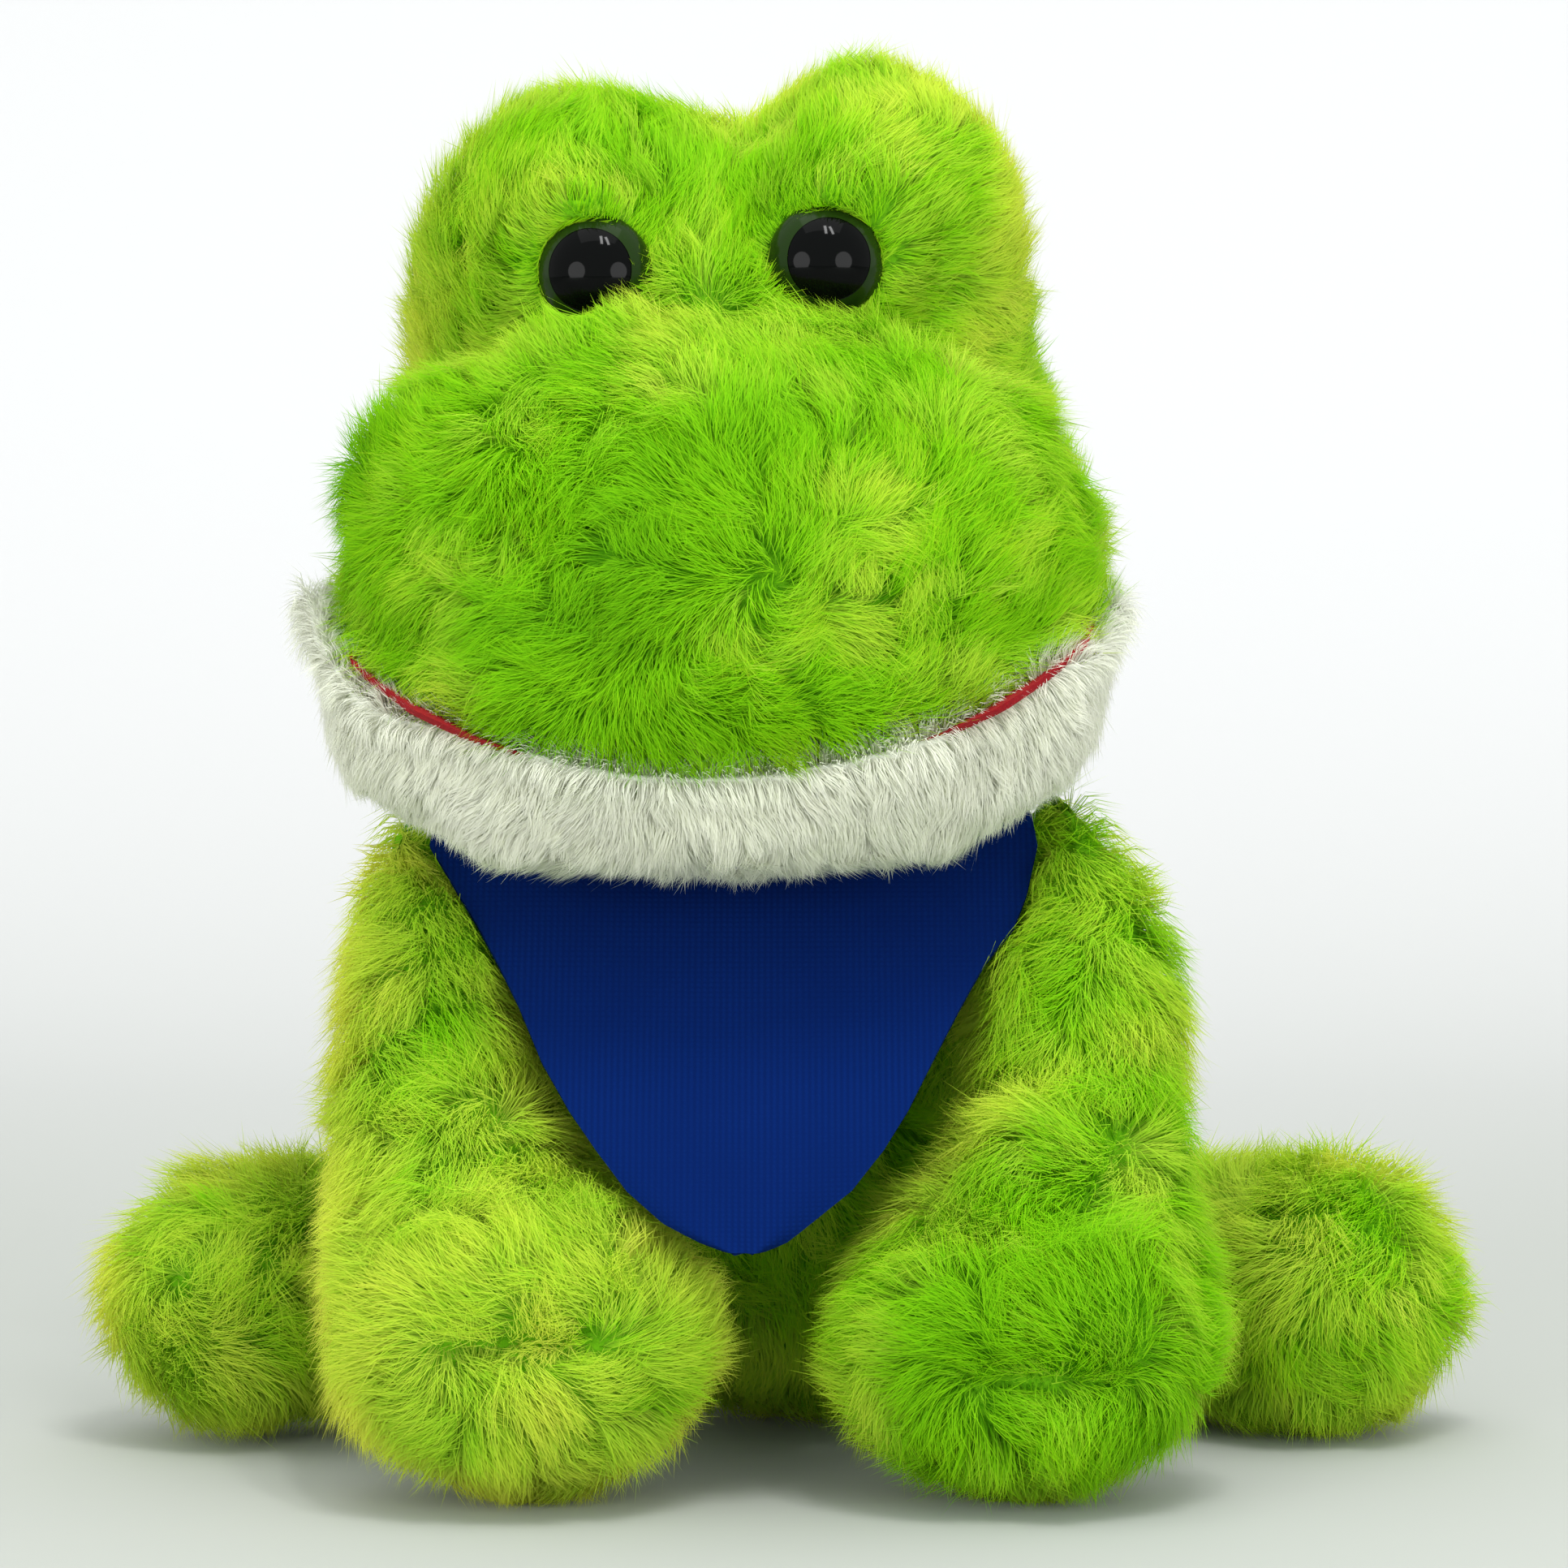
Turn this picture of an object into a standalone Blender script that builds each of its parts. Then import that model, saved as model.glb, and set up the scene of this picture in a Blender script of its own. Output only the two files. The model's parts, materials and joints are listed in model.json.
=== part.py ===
"""A seated plush frog with a cloth bib, built from its sewn and stuffed pieces.

Run it with: blender --background --python part.py
Metres, +Z up. The frog looks along -Y, so its own left is at +X. The origin is on the floor, under the middle
of the torso, on the flat that it sits on.
"""

import math

import bmesh
import bpy
from mathutils import Euler, Matrix, Vector

MM = 0.001

# Sewing and stuffing
SKIN_WALL = 5.0 * MM  # cloth with its pile pressed flat
FELT = 1.2 * MM
CLOTH = 1.2 * MM
PLAY = 0.4 * MM  # between two pieces that touch
SOLE_FLAT = 0.5 * MM  # how far a soft form sinks before the floor cuts it flat
OVERRUN = 20.0 * MM  # how far a cut runs past what it cuts
MERGE_DISTANCE = 0.04 * MM

# Mesh sizes of the soft forms, of their smoothing and of turned pieces
SKIN_GRAIN = 12.5 * MM
FILL_GRAIN = 24.0 * MM
LIMB_FILL_GRAIN = 18.0 * MM
SMOOTH_SHARE = 0.5
SMOOTH_STEPS = 3
LARGE_ROUND_STEPS = 72
ROUND_STEPS = 28
SMALL_ROUND_STEPS = 12
BALL_STEPS = 4
LUMP_STEPS = 3
POUCH_STEPS = 2
CREASE_ANGLE = 50.0  # degrees between two faces from which their edge is drawn sharp

# The whole upper body leans towards the frog's right by this share of the height
LEAN_SHARE = 0.07

# Torso
TORSO_WIDTH = 106.0 * MM
TORSO_DEPTH = 100.0 * MM
TORSO_HEIGHT = 124.0 * MM
CHEST_FACE = 46.0 * MM  # from the origin forward to the flat where the arms are sewn on
HIP_FACE = 45.0 * MM  # from the origin sideways to the flat where a leg is sewn on
HIP_TOP = 72.0 * MM  # the hip flats end at this height
TORSO_SHARES = (
    # centre x, y, z and radius x, y, z, as shares of width, depth and height
    ((0.00, 0.03, 0.33), (0.50, 0.50, 0.34)),
    ((-0.04, -0.03, 0.64), (0.44, 0.41, 0.30)),
    ((-0.075, -0.10, 0.83), (0.35, 0.35, 0.25)),
    ((-0.50, -0.28, 0.74), (0.19, 0.25, 0.16)),
    ((0.38, -0.28, 0.74), (0.19, 0.25, 0.16)),
)
POUCH_WIDTH = 56.0 * MM
POUCH_DEPTH = 52.0 * MM
POUCH_HEIGHT = 18.0 * MM
POUCH_LIFT = 4.0 * MM  # stuffing under the pouch

# Neck: the head's round underside sits in a dish in the torso, with the seam's doubled cloth between them
NECK_BALL = 34.0 * MM
NECK_SHIFT = -10.0 * MM  # sideways, where the leaning torso ends
NECK_FORWARD = 14.0 * MM
NECK_RISE = 28.0 * MM  # of the head's round underside's middle over the torso's height
NECK_PLACE = (NECK_SHIFT, -NECK_FORWARD, TORSO_HEIGHT + NECK_RISE)
NECK_SEAM_INNER = 15.0 * MM
NECK_SEAM_OUTER = 20.0 * MM
NECK_SEAM_CLOTH = 1.4 * MM
NECK_OPENING = 12.0 * MM
NECK_SWELL = 7.0 * MM  # how far the head's form bulges past its round underside before that is cut
NECK_STEPS = 3
NECK_FILL_STEPS = 2
NECK_SEAM_STEPS = 3

# Head, drawn level about the neck's centre and then rolled
HEAD_ROLL = 2.6  # degrees
HEAD_WIDTH = 116.0 * MM
HEAD_DEPTH = 100.0 * MM
HEAD_HEIGHT = 100.0 * MM
HEAD_SHARES = (
    ((0.015, -0.03, 0.27), (0.53, 0.54, 0.49)),
    ((-0.21, -0.16, 0.645), (0.275, 0.38, 0.31)),
    ((0.245, -0.16, 0.67), (0.275, 0.38, 0.315)),
)
MUZZLE_WIDTH = 136.0 * MM
MUZZLE_DEPTH = 90.0 * MM
MUZZLE_HEIGHT = 82.0 * MM
MUZZLE_SHARES = (
    ((0.00, -0.55, 0.22), (0.495, 0.47, 0.45)),
    ((0.00, -0.57, -0.02), (0.508, 0.51, 0.36)),
    ((-0.38, -0.40, 0.02), (0.145, 0.30, 0.30)),
    ((0.38, -0.40, 0.02), (0.145, 0.30, 0.30)),
)

# Mouth: both lips follow one large round, so that the mouth line smiles
SMILE_RADIUS = 104.0 * MM
MOUTH_DROP = 25.5 * MM  # from the neck's centre down to the lowest point of the mouth line
MOUTH_GAP = 0.6 * MM
CHIN_WIDTH = 146.0 * MM
CHIN_DEPTH = 56.0 * MM
CHIN_HEIGHT = 34.0 * MM
CHIN_SHARES = (
    ((0.00, -1.20, -0.86), (0.20, 0.42, 0.53)),
    ((-0.19, -1.17, -0.82), (0.17, 0.44, 0.52)),
    ((0.19, -1.17, -0.82), (0.17, 0.44, 0.52)),
    ((-0.35, -1.02, -0.50), (0.15, 0.48, 0.52)),
    ((0.33, -1.02, -0.50), (0.15, 0.48, 0.52)),
    ((-0.445, -0.72, 0.02), (0.08, 0.46, 0.54)),
    ((0.43, -0.72, 0.02), (0.08, 0.46, 0.54)),
)
JAW_BACK = 16.0 * MM  # the chin's ends stay this far in front of the neck's centre
TONGUE_BACK = 41.0 * MM  # the felt and the middle of the chin stay this far in front of it
TONGUE_WIDTH = 104.0 * MM
CHIN_FILL_WIDTH = 110.0 * MM

# Eyes: a domed safety eye with a stem and a locking washer behind the skin
EYE_RADIUS = 10.0 * MM
PUPIL_RADIUS = 7.2 * MM
EYE_RISE = 6.5 * MM
EYE_RIM = 1.2 * MM
PUPIL_SEAT = 1.6 * MM
STEM_RADIUS = 2.4 * MM
STEM_LENGTH = 15.0 * MM
WASHER_RADIUS = 7.0 * MM
WASHER_THICKNESS = 1.6 * MM
EYE_SPACING = 40.0 * MM
EYE_HEIGHT = 60.0 * MM  # above the neck's centre
EYE_SPLAY = 8.0  # degrees that each eye looks outwards
EYE_LIFT = 4.0  # degrees that each eye looks upwards
IRIS_STEPS = 2
PUPIL_STEPS = 5

# Arms, which are the front legs
SEAM_OPENING = 5.0 * MM  # half width of the way through the skin where a limb is sewn on
ARM_SPREAD = 104.0 * MM
ARM_DEPTH = 62.0 * MM
ARM_HEIGHT = 114.0 * MM
ARM_SHARES = (
    # sideways from the leaning middle line, forward of the chest flat, and up
    ((0.53, 0.10, 0.79), (0.225, 0.30, 0.215)),
    ((0.54, 0.24, 0.61), (0.230, 0.33, 0.26)),
    ((0.49, 0.40, 0.40), (0.27, 0.41, 0.23)),
    ((0.412, 0.52, 0.26), (0.375, 0.50, 0.275)),
)

# Legs, folded out at the sides
LEG_REACH = 128.0 * MM
LEG_DEPTH = 56.0 * MM
LEG_HEIGHT = 56.0 * MM
LEG_SHARES = (
    ((0.42, 0.20, 0.56), (0.20, 0.50, 0.48)),
    ((0.58, 0.02, 0.53), (0.20, 0.46, 0.50)),
    ((0.765, -0.28, 0.50), (0.235, 0.49, 0.51)),
)

# Bib: rows from the collar down to the tip. Each gives how far it lies forward of the chest flat, its height,
# its half width and how far its sides are lifted, as shares of the bib's width and drop
BIB_WIDTH = 104.0 * MM
BIB_DROP = 81.0 * MM
BIB_SINK = 0.5 * MM  # of the collar under the torso's height
BIB_TOP = TORSO_HEIGHT - BIB_SINK
BIB_MIDDLE = -7.0 * MM
BIB_SHARES = (
    (-0.025, -0.03, 0.20, 0.00),
    (0.05, -0.175, 0.42, 0.075),
    (0.15, -0.31, 0.475, 0.085),
    (0.21, -0.37, 0.47, 0.07),
    (0.28, -0.46, 0.42, 0.02),
    (0.345, -0.58, 0.35, 0.00),
    (0.41, -0.72, 0.27, 0.00),
    (0.455, -0.86, 0.165, 0.00),
    (0.48, -0.97, 0.06, 0.00),
)
BIB_FOLD = 92.0 * MM  # height of the line where the hanging flap starts to swing
BAND_RADIUS = 27.0 * MM
BAND_HEIGHT = 5.0 * MM
BAND_DROP = 33.5 * MM  # from the neck's centre down to the band's lower edge

COLOURS = {
    # name: red, green, blue, roughness
    "green_plush": (0.30, 0.58, 0.03, 0.95),
    "white_plush": (0.78, 0.80, 0.74, 0.95),
    "red_felt": (0.42, 0.02, 0.03, 0.90),
    "navy_knit": (0.01, 0.03, 0.16, 0.85),
    "black_plastic": (0.01, 0.01, 0.012, 0.10),
    "green_plastic": (0.02, 0.06, 0.02, 0.12),
    "white_plastic": (0.80, 0.80, 0.78, 0.40),
    "fibre_fill": (0.86, 0.86, 0.84, 1.00),
    "pouch_cloth": (0.70, 0.68, 0.62, 0.90),
}


def clear_scene():
    """Removes what the startup scene holds."""
    for obj in list(bpy.data.objects):
        bpy.data.objects.remove(obj)


def material(name):
    """The named finish, made once."""
    found = bpy.data.materials.get(name)
    if found:
        return found
    red, green, blue, roughness = COLOURS[name]
    made = bpy.data.materials.new(name)
    made.use_nodes = True
    shader = made.node_tree.nodes["Principled BSDF"]
    shader.inputs["Base Color"].default_value = (red, green, blue, 1.0)
    shader.inputs["Roughness"].default_value = roughness
    return made


def collection(name):
    """The named collection, made once."""
    found = bpy.data.collections.get(name)
    if found:
        return found
    made = bpy.data.collections.new(name)
    bpy.context.scene.collection.children.link(made)
    return made


def add_object(name, mesh, group, finish=None):
    """Links a mesh as a new object and gives it its finish."""
    obj = bpy.data.objects.new(name, mesh)
    collection(group).objects.link(obj)
    if finish:
        mesh.materials.clear()
        mesh.materials.append(material(finish))
    return obj


def piece(name, mesh, finish):
    """A finished piece of the frog, shaded smooth with its cut edges sharp."""
    mesh.shade_smooth()
    mesh.set_sharp_from_angle(angle=math.radians(CREASE_ANGLE))
    return add_object(name, mesh, "plush_frog", finish)


def helper(name, mesh):
    """A passing object that shapes pieces and isn't part of the frog."""
    obj = add_object(name, mesh, "cutters")
    obj.hide_render = True
    obj.display_type = "WIRE"
    return obj


def baked(obj):
    """A new mesh holding an object as its modifiers leave it; the object itself is removed."""
    bpy.context.view_layer.update()
    graph = bpy.context.evaluated_depsgraph_get()
    mesh = bpy.data.meshes.new_from_object(obj.evaluated_get(graph))
    bpy.data.objects.remove(obj)
    return mesh


def closed_mesh(name, bm):
    """The mesh of a finished bmesh, which is freed."""
    mesh = bpy.data.meshes.new(name)
    bm.to_mesh(mesh)
    bm.free()
    return mesh


def scaled_to(shares, sizes):
    """A point or a set of radii from its shares of three sizes."""
    return Vector(share * size for share, size in zip(shares, sizes))


def soft_form(name, lumps, place, grain):
    """One closed rounded surface round a set of ellipsoid lumps, as stuffing swells a skin.

    lumps holds pairs of centre and radii in metres, and place the matrix that puts them in the frog.
    """
    bm = bmesh.new()
    for centre, radii in lumps:
        at = place @ Matrix.Translation(centre) @ Matrix.Diagonal((*radii, 1.0))
        bmesh.ops.create_icosphere(bm, subdivisions=LUMP_STEPS, radius=1.0, matrix=at)
    obj = helper(name, closed_mesh(name, bm))
    remesh = obj.modifiers.new("swell", "REMESH")
    remesh.mode = "VOXEL"
    remesh.voxel_size = grain
    smooth = obj.modifiers.new("even", "SMOOTH")
    smooth.factor = SMOOTH_SHARE
    smooth.iterations = SMOOTH_STEPS
    obj.modifiers.new("facets", "TRIANGULATE")
    return baked(obj)


def shrunk(lumps, inset):
    """The same lumps with every radius less by inset."""
    return [(centre, Vector(r - inset for r in radii)) for centre, radii in lumps]


def settle(meshes):
    """Lowers or lifts meshes together, so that the first one dips SOLE_FLAT under the floor."""
    lowest = min(v.co.z for v in meshes[0].vertices)
    shift = Matrix.Translation((0.0, 0.0, -SOLE_FLAT - lowest))
    for mesh in meshes:
        mesh.transform(shift)


def box_mesh(name, low, high):
    """A box between two corners."""
    low, high = Vector(low), Vector(high)
    bm = bmesh.new()
    at = Matrix.Translation((low + high) / 2) @ Matrix.Diagonal((*(high - low), 1.0))
    bmesh.ops.create_cube(bm, size=1.0, matrix=at)
    return closed_mesh(name, bm)


def cylinder_mesh(name, radius, length, at, segments=SMALL_ROUND_STEPS):
    """A cylinder along the local Z of a matrix, centred on it."""
    bm = bmesh.new()
    bmesh.ops.create_cone(
        bm, cap_ends=True, segments=segments, radius1=radius, radius2=radius, depth=length, matrix=at
    )
    return closed_mesh(name, bm)


def ball_mesh(name, radius, centre, steps=BALL_STEPS):
    """A sphere."""
    bm = bmesh.new()
    bmesh.ops.create_icosphere(
        bm, subdivisions=steps, radius=radius, matrix=Matrix.Translation(centre)
    )
    return closed_mesh(name, bm)


def combined(name, mesh, others, operation="DIFFERENCE"):
    """The mesh after one Boolean with each of the other meshes in turn."""
    obj = helper(name, mesh)
    tools = []
    for number, other in enumerate(others):
        tool = helper(f"{name}_{number}", other.copy())
        tools.append(tool)
        step = obj.modifiers.new(f"step_{number}", "BOOLEAN")
        step.operation = operation
        step.solver = "EXACT"
        step.object = tool
    made = baked(obj)
    for tool in tools:
        bpy.data.objects.remove(tool)
    return made


def grown(mesh, distance):
    """A copy of a closed mesh with its surface moved outwards."""
    copy = mesh.copy()
    copy.update()
    places = [v.co + v.normal * distance for v in copy.vertices]
    for vertex, place in zip(copy.vertices, places):
        vertex.co = place
    return copy


def turned(name, outline, at, steps=ROUND_STEPS, ring=False):
    """A solid turned about the local Z of a matrix, from an outline of radius and height, top to bottom.

    The outline of a ring is joined to its own start.
    """
    mesh = bpy.data.meshes.new(name)
    edges = [(i, i + 1) for i in range(len(outline) - 1)]
    if ring:
        edges.append((len(outline) - 1, 0))
    mesh.from_pydata([(radius, 0.0, height) for radius, height in outline], edges, [])
    obj = helper(name, mesh)
    screw = obj.modifiers.new("turn", "SCREW")
    screw.steps = steps
    screw.render_steps = steps
    screw.use_merge_vertices = True
    screw.merge_threshold = MERGE_DISTANCE
    screw.use_smooth_shade = True
    made = baked(obj)
    made.transform(at)
    return made


def lean(height):
    """How far the body's middle line has leant sideways at a height."""
    return -LEAN_SHARE * height


class Torso:
    """The torso: skin, stuffing and the pellet pouch that keeps the frog seated."""

    def __init__(self):
        sizes = (TORSO_WIDTH, TORSO_DEPTH, TORSO_HEIGHT)
        lumps = [(scaled_to(c, sizes), scaled_to(r, sizes)) for c, r in TORSO_SHARES]
        level = Matrix.Identity(4)
        form = soft_form("torso_form", lumps, level, SKIN_GRAIN)
        fill = soft_form("torso_fill", shrunk(lumps, SKIN_WALL), level, FILL_GRAIN)
        settle([form, fill])
        reach = TORSO_WIDTH + TORSO_DEPTH
        faces = [
            box_mesh("floor", (-reach, -reach, -reach), (reach, reach, 0.0)),
            box_mesh("chest", (-reach, -reach, -reach), (reach, -CHEST_FACE, reach)),
            box_mesh("hip_right", (-reach, -reach, -reach), (-HIP_FACE, reach, HIP_TOP)),
            box_mesh("hip_left", (HIP_FACE, -reach, -reach), (reach, reach, HIP_TOP)),
        ]
        dish = ball_mesh("dish", NECK_BALL + NECK_SEAM_CLOTH + 2 * PLAY, NECK_PLACE)
        self.form = combined("torso_form", form, [*faces, dish, neck_band(PLAY)])
        self.fill = self.inner(fill)

    def inner(self, fill):
        """The stuffing, kept a skin's wall behind the flats and the dish."""
        reach = TORSO_WIDTH + TORSO_DEPTH
        chest, hip, top = CHEST_FACE - SKIN_WALL, HIP_FACE - SKIN_WALL, HIP_TOP + SKIN_WALL
        faces = [
            box_mesh("floor", (-reach, -reach, -reach), (reach, reach, SKIN_WALL)),
            box_mesh("chest", (-reach, -reach, -reach), (reach, -chest, reach)),
            box_mesh("hip_right", (-reach, -reach, -reach), (-hip, reach, top)),
            box_mesh("hip_left", (hip, -reach, -reach), (reach, reach, top)),
        ]
        dish = ball_mesh("dish", NECK_BALL + NECK_SEAM_CLOTH + SKIN_WALL, NECK_PLACE, NECK_FILL_STEPS)
        return combined("torso_fill", fill, [*faces, dish])

    def build(self):
        """Makes the torso's nodes."""
        hollow = grown(self.fill, PLAY)
        depth = 2 * NECK_BALL + 2 * OVERRUN
        opening = cylinder_mesh("neck_opening", NECK_OPENING, depth, Matrix.Translation(NECK_PLACE))
        piece("torso_skin", combined("torso_skin", self.form.copy(), [hollow, opening]), "green_plush")
        room = self.pouch(PLAY)
        stuffing = combined("torso_filling", self.fill.copy(), [room])
        piece("torso_filling", stuffing, "fibre_fill")
        piece("pellet_pouch", self.pouch(0.0), "pouch_cloth")

    def pouch(self, play):
        """The flat pouch of pellets, on the inside of the seat; play makes its room in the stuffing."""
        rise = POUCH_HEIGHT / 2 + play
        lowest = min(v.co.z for v in self.fill.vertices)
        centre = Vector((0.0, 0.0, lowest + POUCH_LIFT + POUCH_HEIGHT / 2))
        radii = Vector((POUCH_WIDTH / 2 + play, POUCH_DEPTH / 2 + play, rise))
        bm = bmesh.new()
        at = Matrix.Translation(centre) @ Matrix.Diagonal((*radii, 1.0))
        bmesh.ops.create_icosphere(bm, subdivisions=POUCH_STEPS, radius=1.0, matrix=at)
        mesh = closed_mesh("pouch", bm)
        if not play:
            return mesh
        down = box_mesh(
            "pouch_way",
            (-radii.x / 2, -radii.y / 2, 0.0),
            (radii.x / 2, radii.y / 2, centre.z),
        )
        return combined("pouch_room", mesh, [down], "UNION")


class Head:
    """The head: skin and stuffing, the muzzle, the chin with the felt mouth, and the eyes."""

    def __init__(self):
        self.centre = Vector(NECK_PLACE)
        self.place = Matrix.Translation(self.centre) @ Euler(
            (0.0, -math.radians(HEAD_ROLL), 0.0)
        ).to_matrix().to_4x4()
        self.seat = (Vector(), Vector((NECK_BALL + NECK_SWELL,) * 3))
        sizes = (HEAD_WIDTH, HEAD_DEPTH, HEAD_HEIGHT)
        self.lumps = [(scaled_to(c, sizes), scaled_to(r, sizes)) for c, r in HEAD_SHARES]
        swollen = soft_form("head_form", [*self.lumps, self.seat], self.place, SKIN_GRAIN)
        self.room = grown(swollen, PLAY)
        self.form = self.seated(swollen, NECK_BALL, NECK_STEPS)
        lumps = shrunk([*self.lumps, self.seat], SKIN_WALL)
        fill = soft_form("head_fill", lumps, self.place, FILL_GRAIN)
        self.fill = self.seated(fill, NECK_BALL - SKIN_WALL, NECK_FILL_STEPS)

    def seated(self, form, radius, steps):
        """The form with its underside cut to a sphere, so that it turns in the torso's dish."""
        reach = Vector((HEAD_WIDTH, HEAD_WIDTH, 2 * NECK_BALL))
        top = self.centre + Vector((HEAD_WIDTH, HEAD_WIDTH, -radius / 2))
        block = box_mesh("under", self.centre - reach, top)
        block = combined("under", block, [ball_mesh("seat", radius, self.centre, steps)])
        return combined("seated", form, [block])

    def smile(self, radius):
        """The large round along the head's depth that both lips follow."""
        drop = Vector((0.0, -MUZZLE_DEPTH, SMILE_RADIUS - MOUTH_DROP))
        at = self.place @ Matrix.Translation(drop) @ Euler((math.pi / 2, 0.0, 0.0)).to_matrix().to_4x4()
        return cylinder_mesh("smile", radius, 4 * MUZZLE_DEPTH, at, LARGE_ROUND_STEPS)

    def build(self):
        """Makes the head's nodes."""
        rooms = [self.build_eye(side, sign) for side, sign in (("right", -1), ("left", 1))]
        form, fill = self.muzzle_forms()
        self.build_muzzle(form, fill, rooms)
        self.build_chin(form)
        hollow = grown(self.fill, PLAY)
        under = Matrix.Translation(self.centre - Vector((0.0, 0.0, NECK_BALL)))
        opening = cylinder_mesh("neck_opening", NECK_OPENING, NECK_BALL, under)
        skin = combined("head_skin", self.form.copy(), [hollow, opening, *rooms])
        piece("head_skin", skin, "green_plush")
        filling = combined("head_filling", self.fill.copy(), rooms)
        piece("head_filling", filling, "fibre_fill")

    def muzzle_forms(self):
        """The muzzle's outer form and its stuffing, both open towards the head."""
        sizes = (MUZZLE_WIDTH, MUZZLE_DEPTH, MUZZLE_HEIGHT)
        lumps = [(scaled_to(c, sizes), scaled_to(r, sizes)) for c, r in MUZZLE_SHARES]
        form = soft_form("muzzle_form", lumps, self.place, SKIN_GRAIN)
        fill = soft_form("muzzle_fill", shrunk(lumps, SKIN_WALL), self.place, FILL_GRAIN)
        return form, fill

    def build_muzzle(self, form, fill, rooms):
        """The upper snout: skin, stuffing and the felt roof of the mouth."""
        inside = combined("muzzle_cut", form.copy(), [self.smile(SMILE_RADIUS)], "INTERSECT")
        mouth = self.smile(SMILE_RADIUS + OVERRUN)
        hollow = combined("muzzle_hollow", grown(fill, PLAY), [mouth], "INTERSECT")
        skin = combined("muzzle_skin", inside, [self.room, hollow, *rooms])
        piece("muzzle_skin", skin, "green_plush")
        within = combined("muzzle_within", fill.copy(), [self.smile(SMILE_RADIUS)], "INTERSECT")
        piece("muzzle_filling", combined("muzzle_filling", within, [self.room]), "fibre_fill")
        roof = self.felt(form, SMILE_RADIUS + PLAY)
        piece("mouth_roof", combined("mouth_roof", roof, [self.room]), "red_felt")

    def felt(self, form, radius):
        """A sheet of felt along the smile, as wide as the muzzle."""
        sheet = combined("felt", form.copy(), [self.smile(radius + FELT)], "INTERSECT")
        return combined("felt", sheet, [self.smile(radius), self.behind_jaw(0.0), self.behind_tongue(0.0)])

    def behind_jaw(self, inset):
        """The block behind the ends of the jaw."""
        reach = HEAD_WIDTH
        mesh = box_mesh("behind_jaw", (-reach, -JAW_BACK - inset, -reach), (reach, reach, reach))
        mesh.transform(self.place)
        return mesh

    def behind_tongue(self, inset):
        """The block under the throat, behind the middle of the jaw."""
        reach = HEAD_WIDTH
        half = TONGUE_WIDTH / 2 + inset
        mesh = box_mesh("behind_tongue", (-half, -TONGUE_BACK - inset, -reach), (half, reach, reach))
        mesh.transform(self.place)
        return mesh

    def build_chin(self, muzzle_form):
        """The lower jaw: white skin, stuffing and the felt floor of the mouth."""
        sizes = (CHIN_WIDTH, CHIN_DEPTH, CHIN_HEIGHT)
        lumps = [(scaled_to(c, sizes), scaled_to(r, sizes)) for c, r in CHIN_SHARES]
        form = soft_form("chin_form", lumps, self.place, SKIN_GRAIN)
        fill = soft_form("chin_fill", shrunk(lumps, SKIN_WALL), self.place, SKIN_GRAIN)
        floor_radius = SMILE_RADIUS + FELT + MOUTH_GAP + PLAY
        top = self.smile(floor_radius + FELT + PLAY)
        chin = combined("chin_cut", form, [top, self.behind_jaw(0.0), self.behind_tongue(0.0), self.room])
        reach = HEAD_WIDTH
        for low, high in ((-reach, -CHIN_FILL_WIDTH / 2), (CHIN_FILL_WIDTH / 2, reach)):
            tip = box_mesh("tip", (low, -reach, -reach), (high, reach, reach))
            tip.transform(self.place)
            fill = combined("chin_fill", fill, [tip])
        within = [top, self.behind_jaw(SKIN_WALL), self.behind_tongue(SKIN_WALL), self.room]
        within = combined("chin_within", fill, within)
        piece("chin_skin", combined("chin_skin", chin, [grown(within, PLAY)]), "white_plush")
        piece("chin_filling", within, "fibre_fill")
        floor = self.felt(muzzle_form, floor_radius)
        piece("mouth_floor", combined("mouth_floor", floor, [self.room]), "red_felt")

    def build_eye(self, side, sign):
        """One safety eye. Returns the cutter that makes its room in the skin and in the stuffing."""
        aim = Euler((math.radians(90 - EYE_LIFT), 0.0, sign * math.radians(EYE_SPLAY))).to_matrix().to_4x4()
        guess = self.place @ Vector((sign * EYE_SPACING / 2, -HEAD_DEPTH, EYE_HEIGHT))
        inward = self.place.to_3x3() @ Vector((0.0, 1.0, 0.0))
        probe = helper("probe", self.form.copy())
        bpy.context.view_layer.update()
        found, seat, _, _ = probe.ray_cast(guess, inward)
        bpy.data.objects.remove(probe)
        at = Matrix.Translation(seat if found else guess) @ self.place.to_3x3().to_4x4() @ aim
        at = at @ Matrix.Translation((0.0, 0.0, -EYE_RIM))
        piece(f"eye_iris_{side}", turned(f"eye_iris_{side}", self.iris_outline(), at), "green_plastic")
        piece(f"eye_pupil_{side}", turned(f"eye_pupil_{side}", self.pupil_outline(), at), "black_plastic")
        washer_at = at @ Matrix.Translation((0.0, 0.0, -SKIN_WALL - 2 * PLAY - WASHER_THICKNESS))
        washer = turned(f"eye_washer_{side}", self.washer_outline(), washer_at, SMALL_ROUND_STEPS, True)
        piece(f"eye_washer_{side}", washer, "white_plastic")
        up = Matrix.Translation((0.0, 0.0, OVERRUN / 2 - PLAY))
        rim_room = cylinder_mesh("rim_room", EYE_RADIUS + PLAY, OVERRUN, at @ up, ROUND_STEPS)
        stem_room = cylinder_mesh("stem_room", STEM_RADIUS + PLAY, 2 * (STEM_LENGTH + PLAY), at)
        middle = Matrix.Translation((0.0, 0.0, WASHER_THICKNESS / 2))
        thickness = WASHER_THICKNESS + 2 * PLAY
        washer_room = cylinder_mesh("washer_room", WASHER_RADIUS + PLAY, thickness, washer_at @ middle)
        return combined("eye_room", rim_room, [stem_room, washer_room], "UNION")

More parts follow.
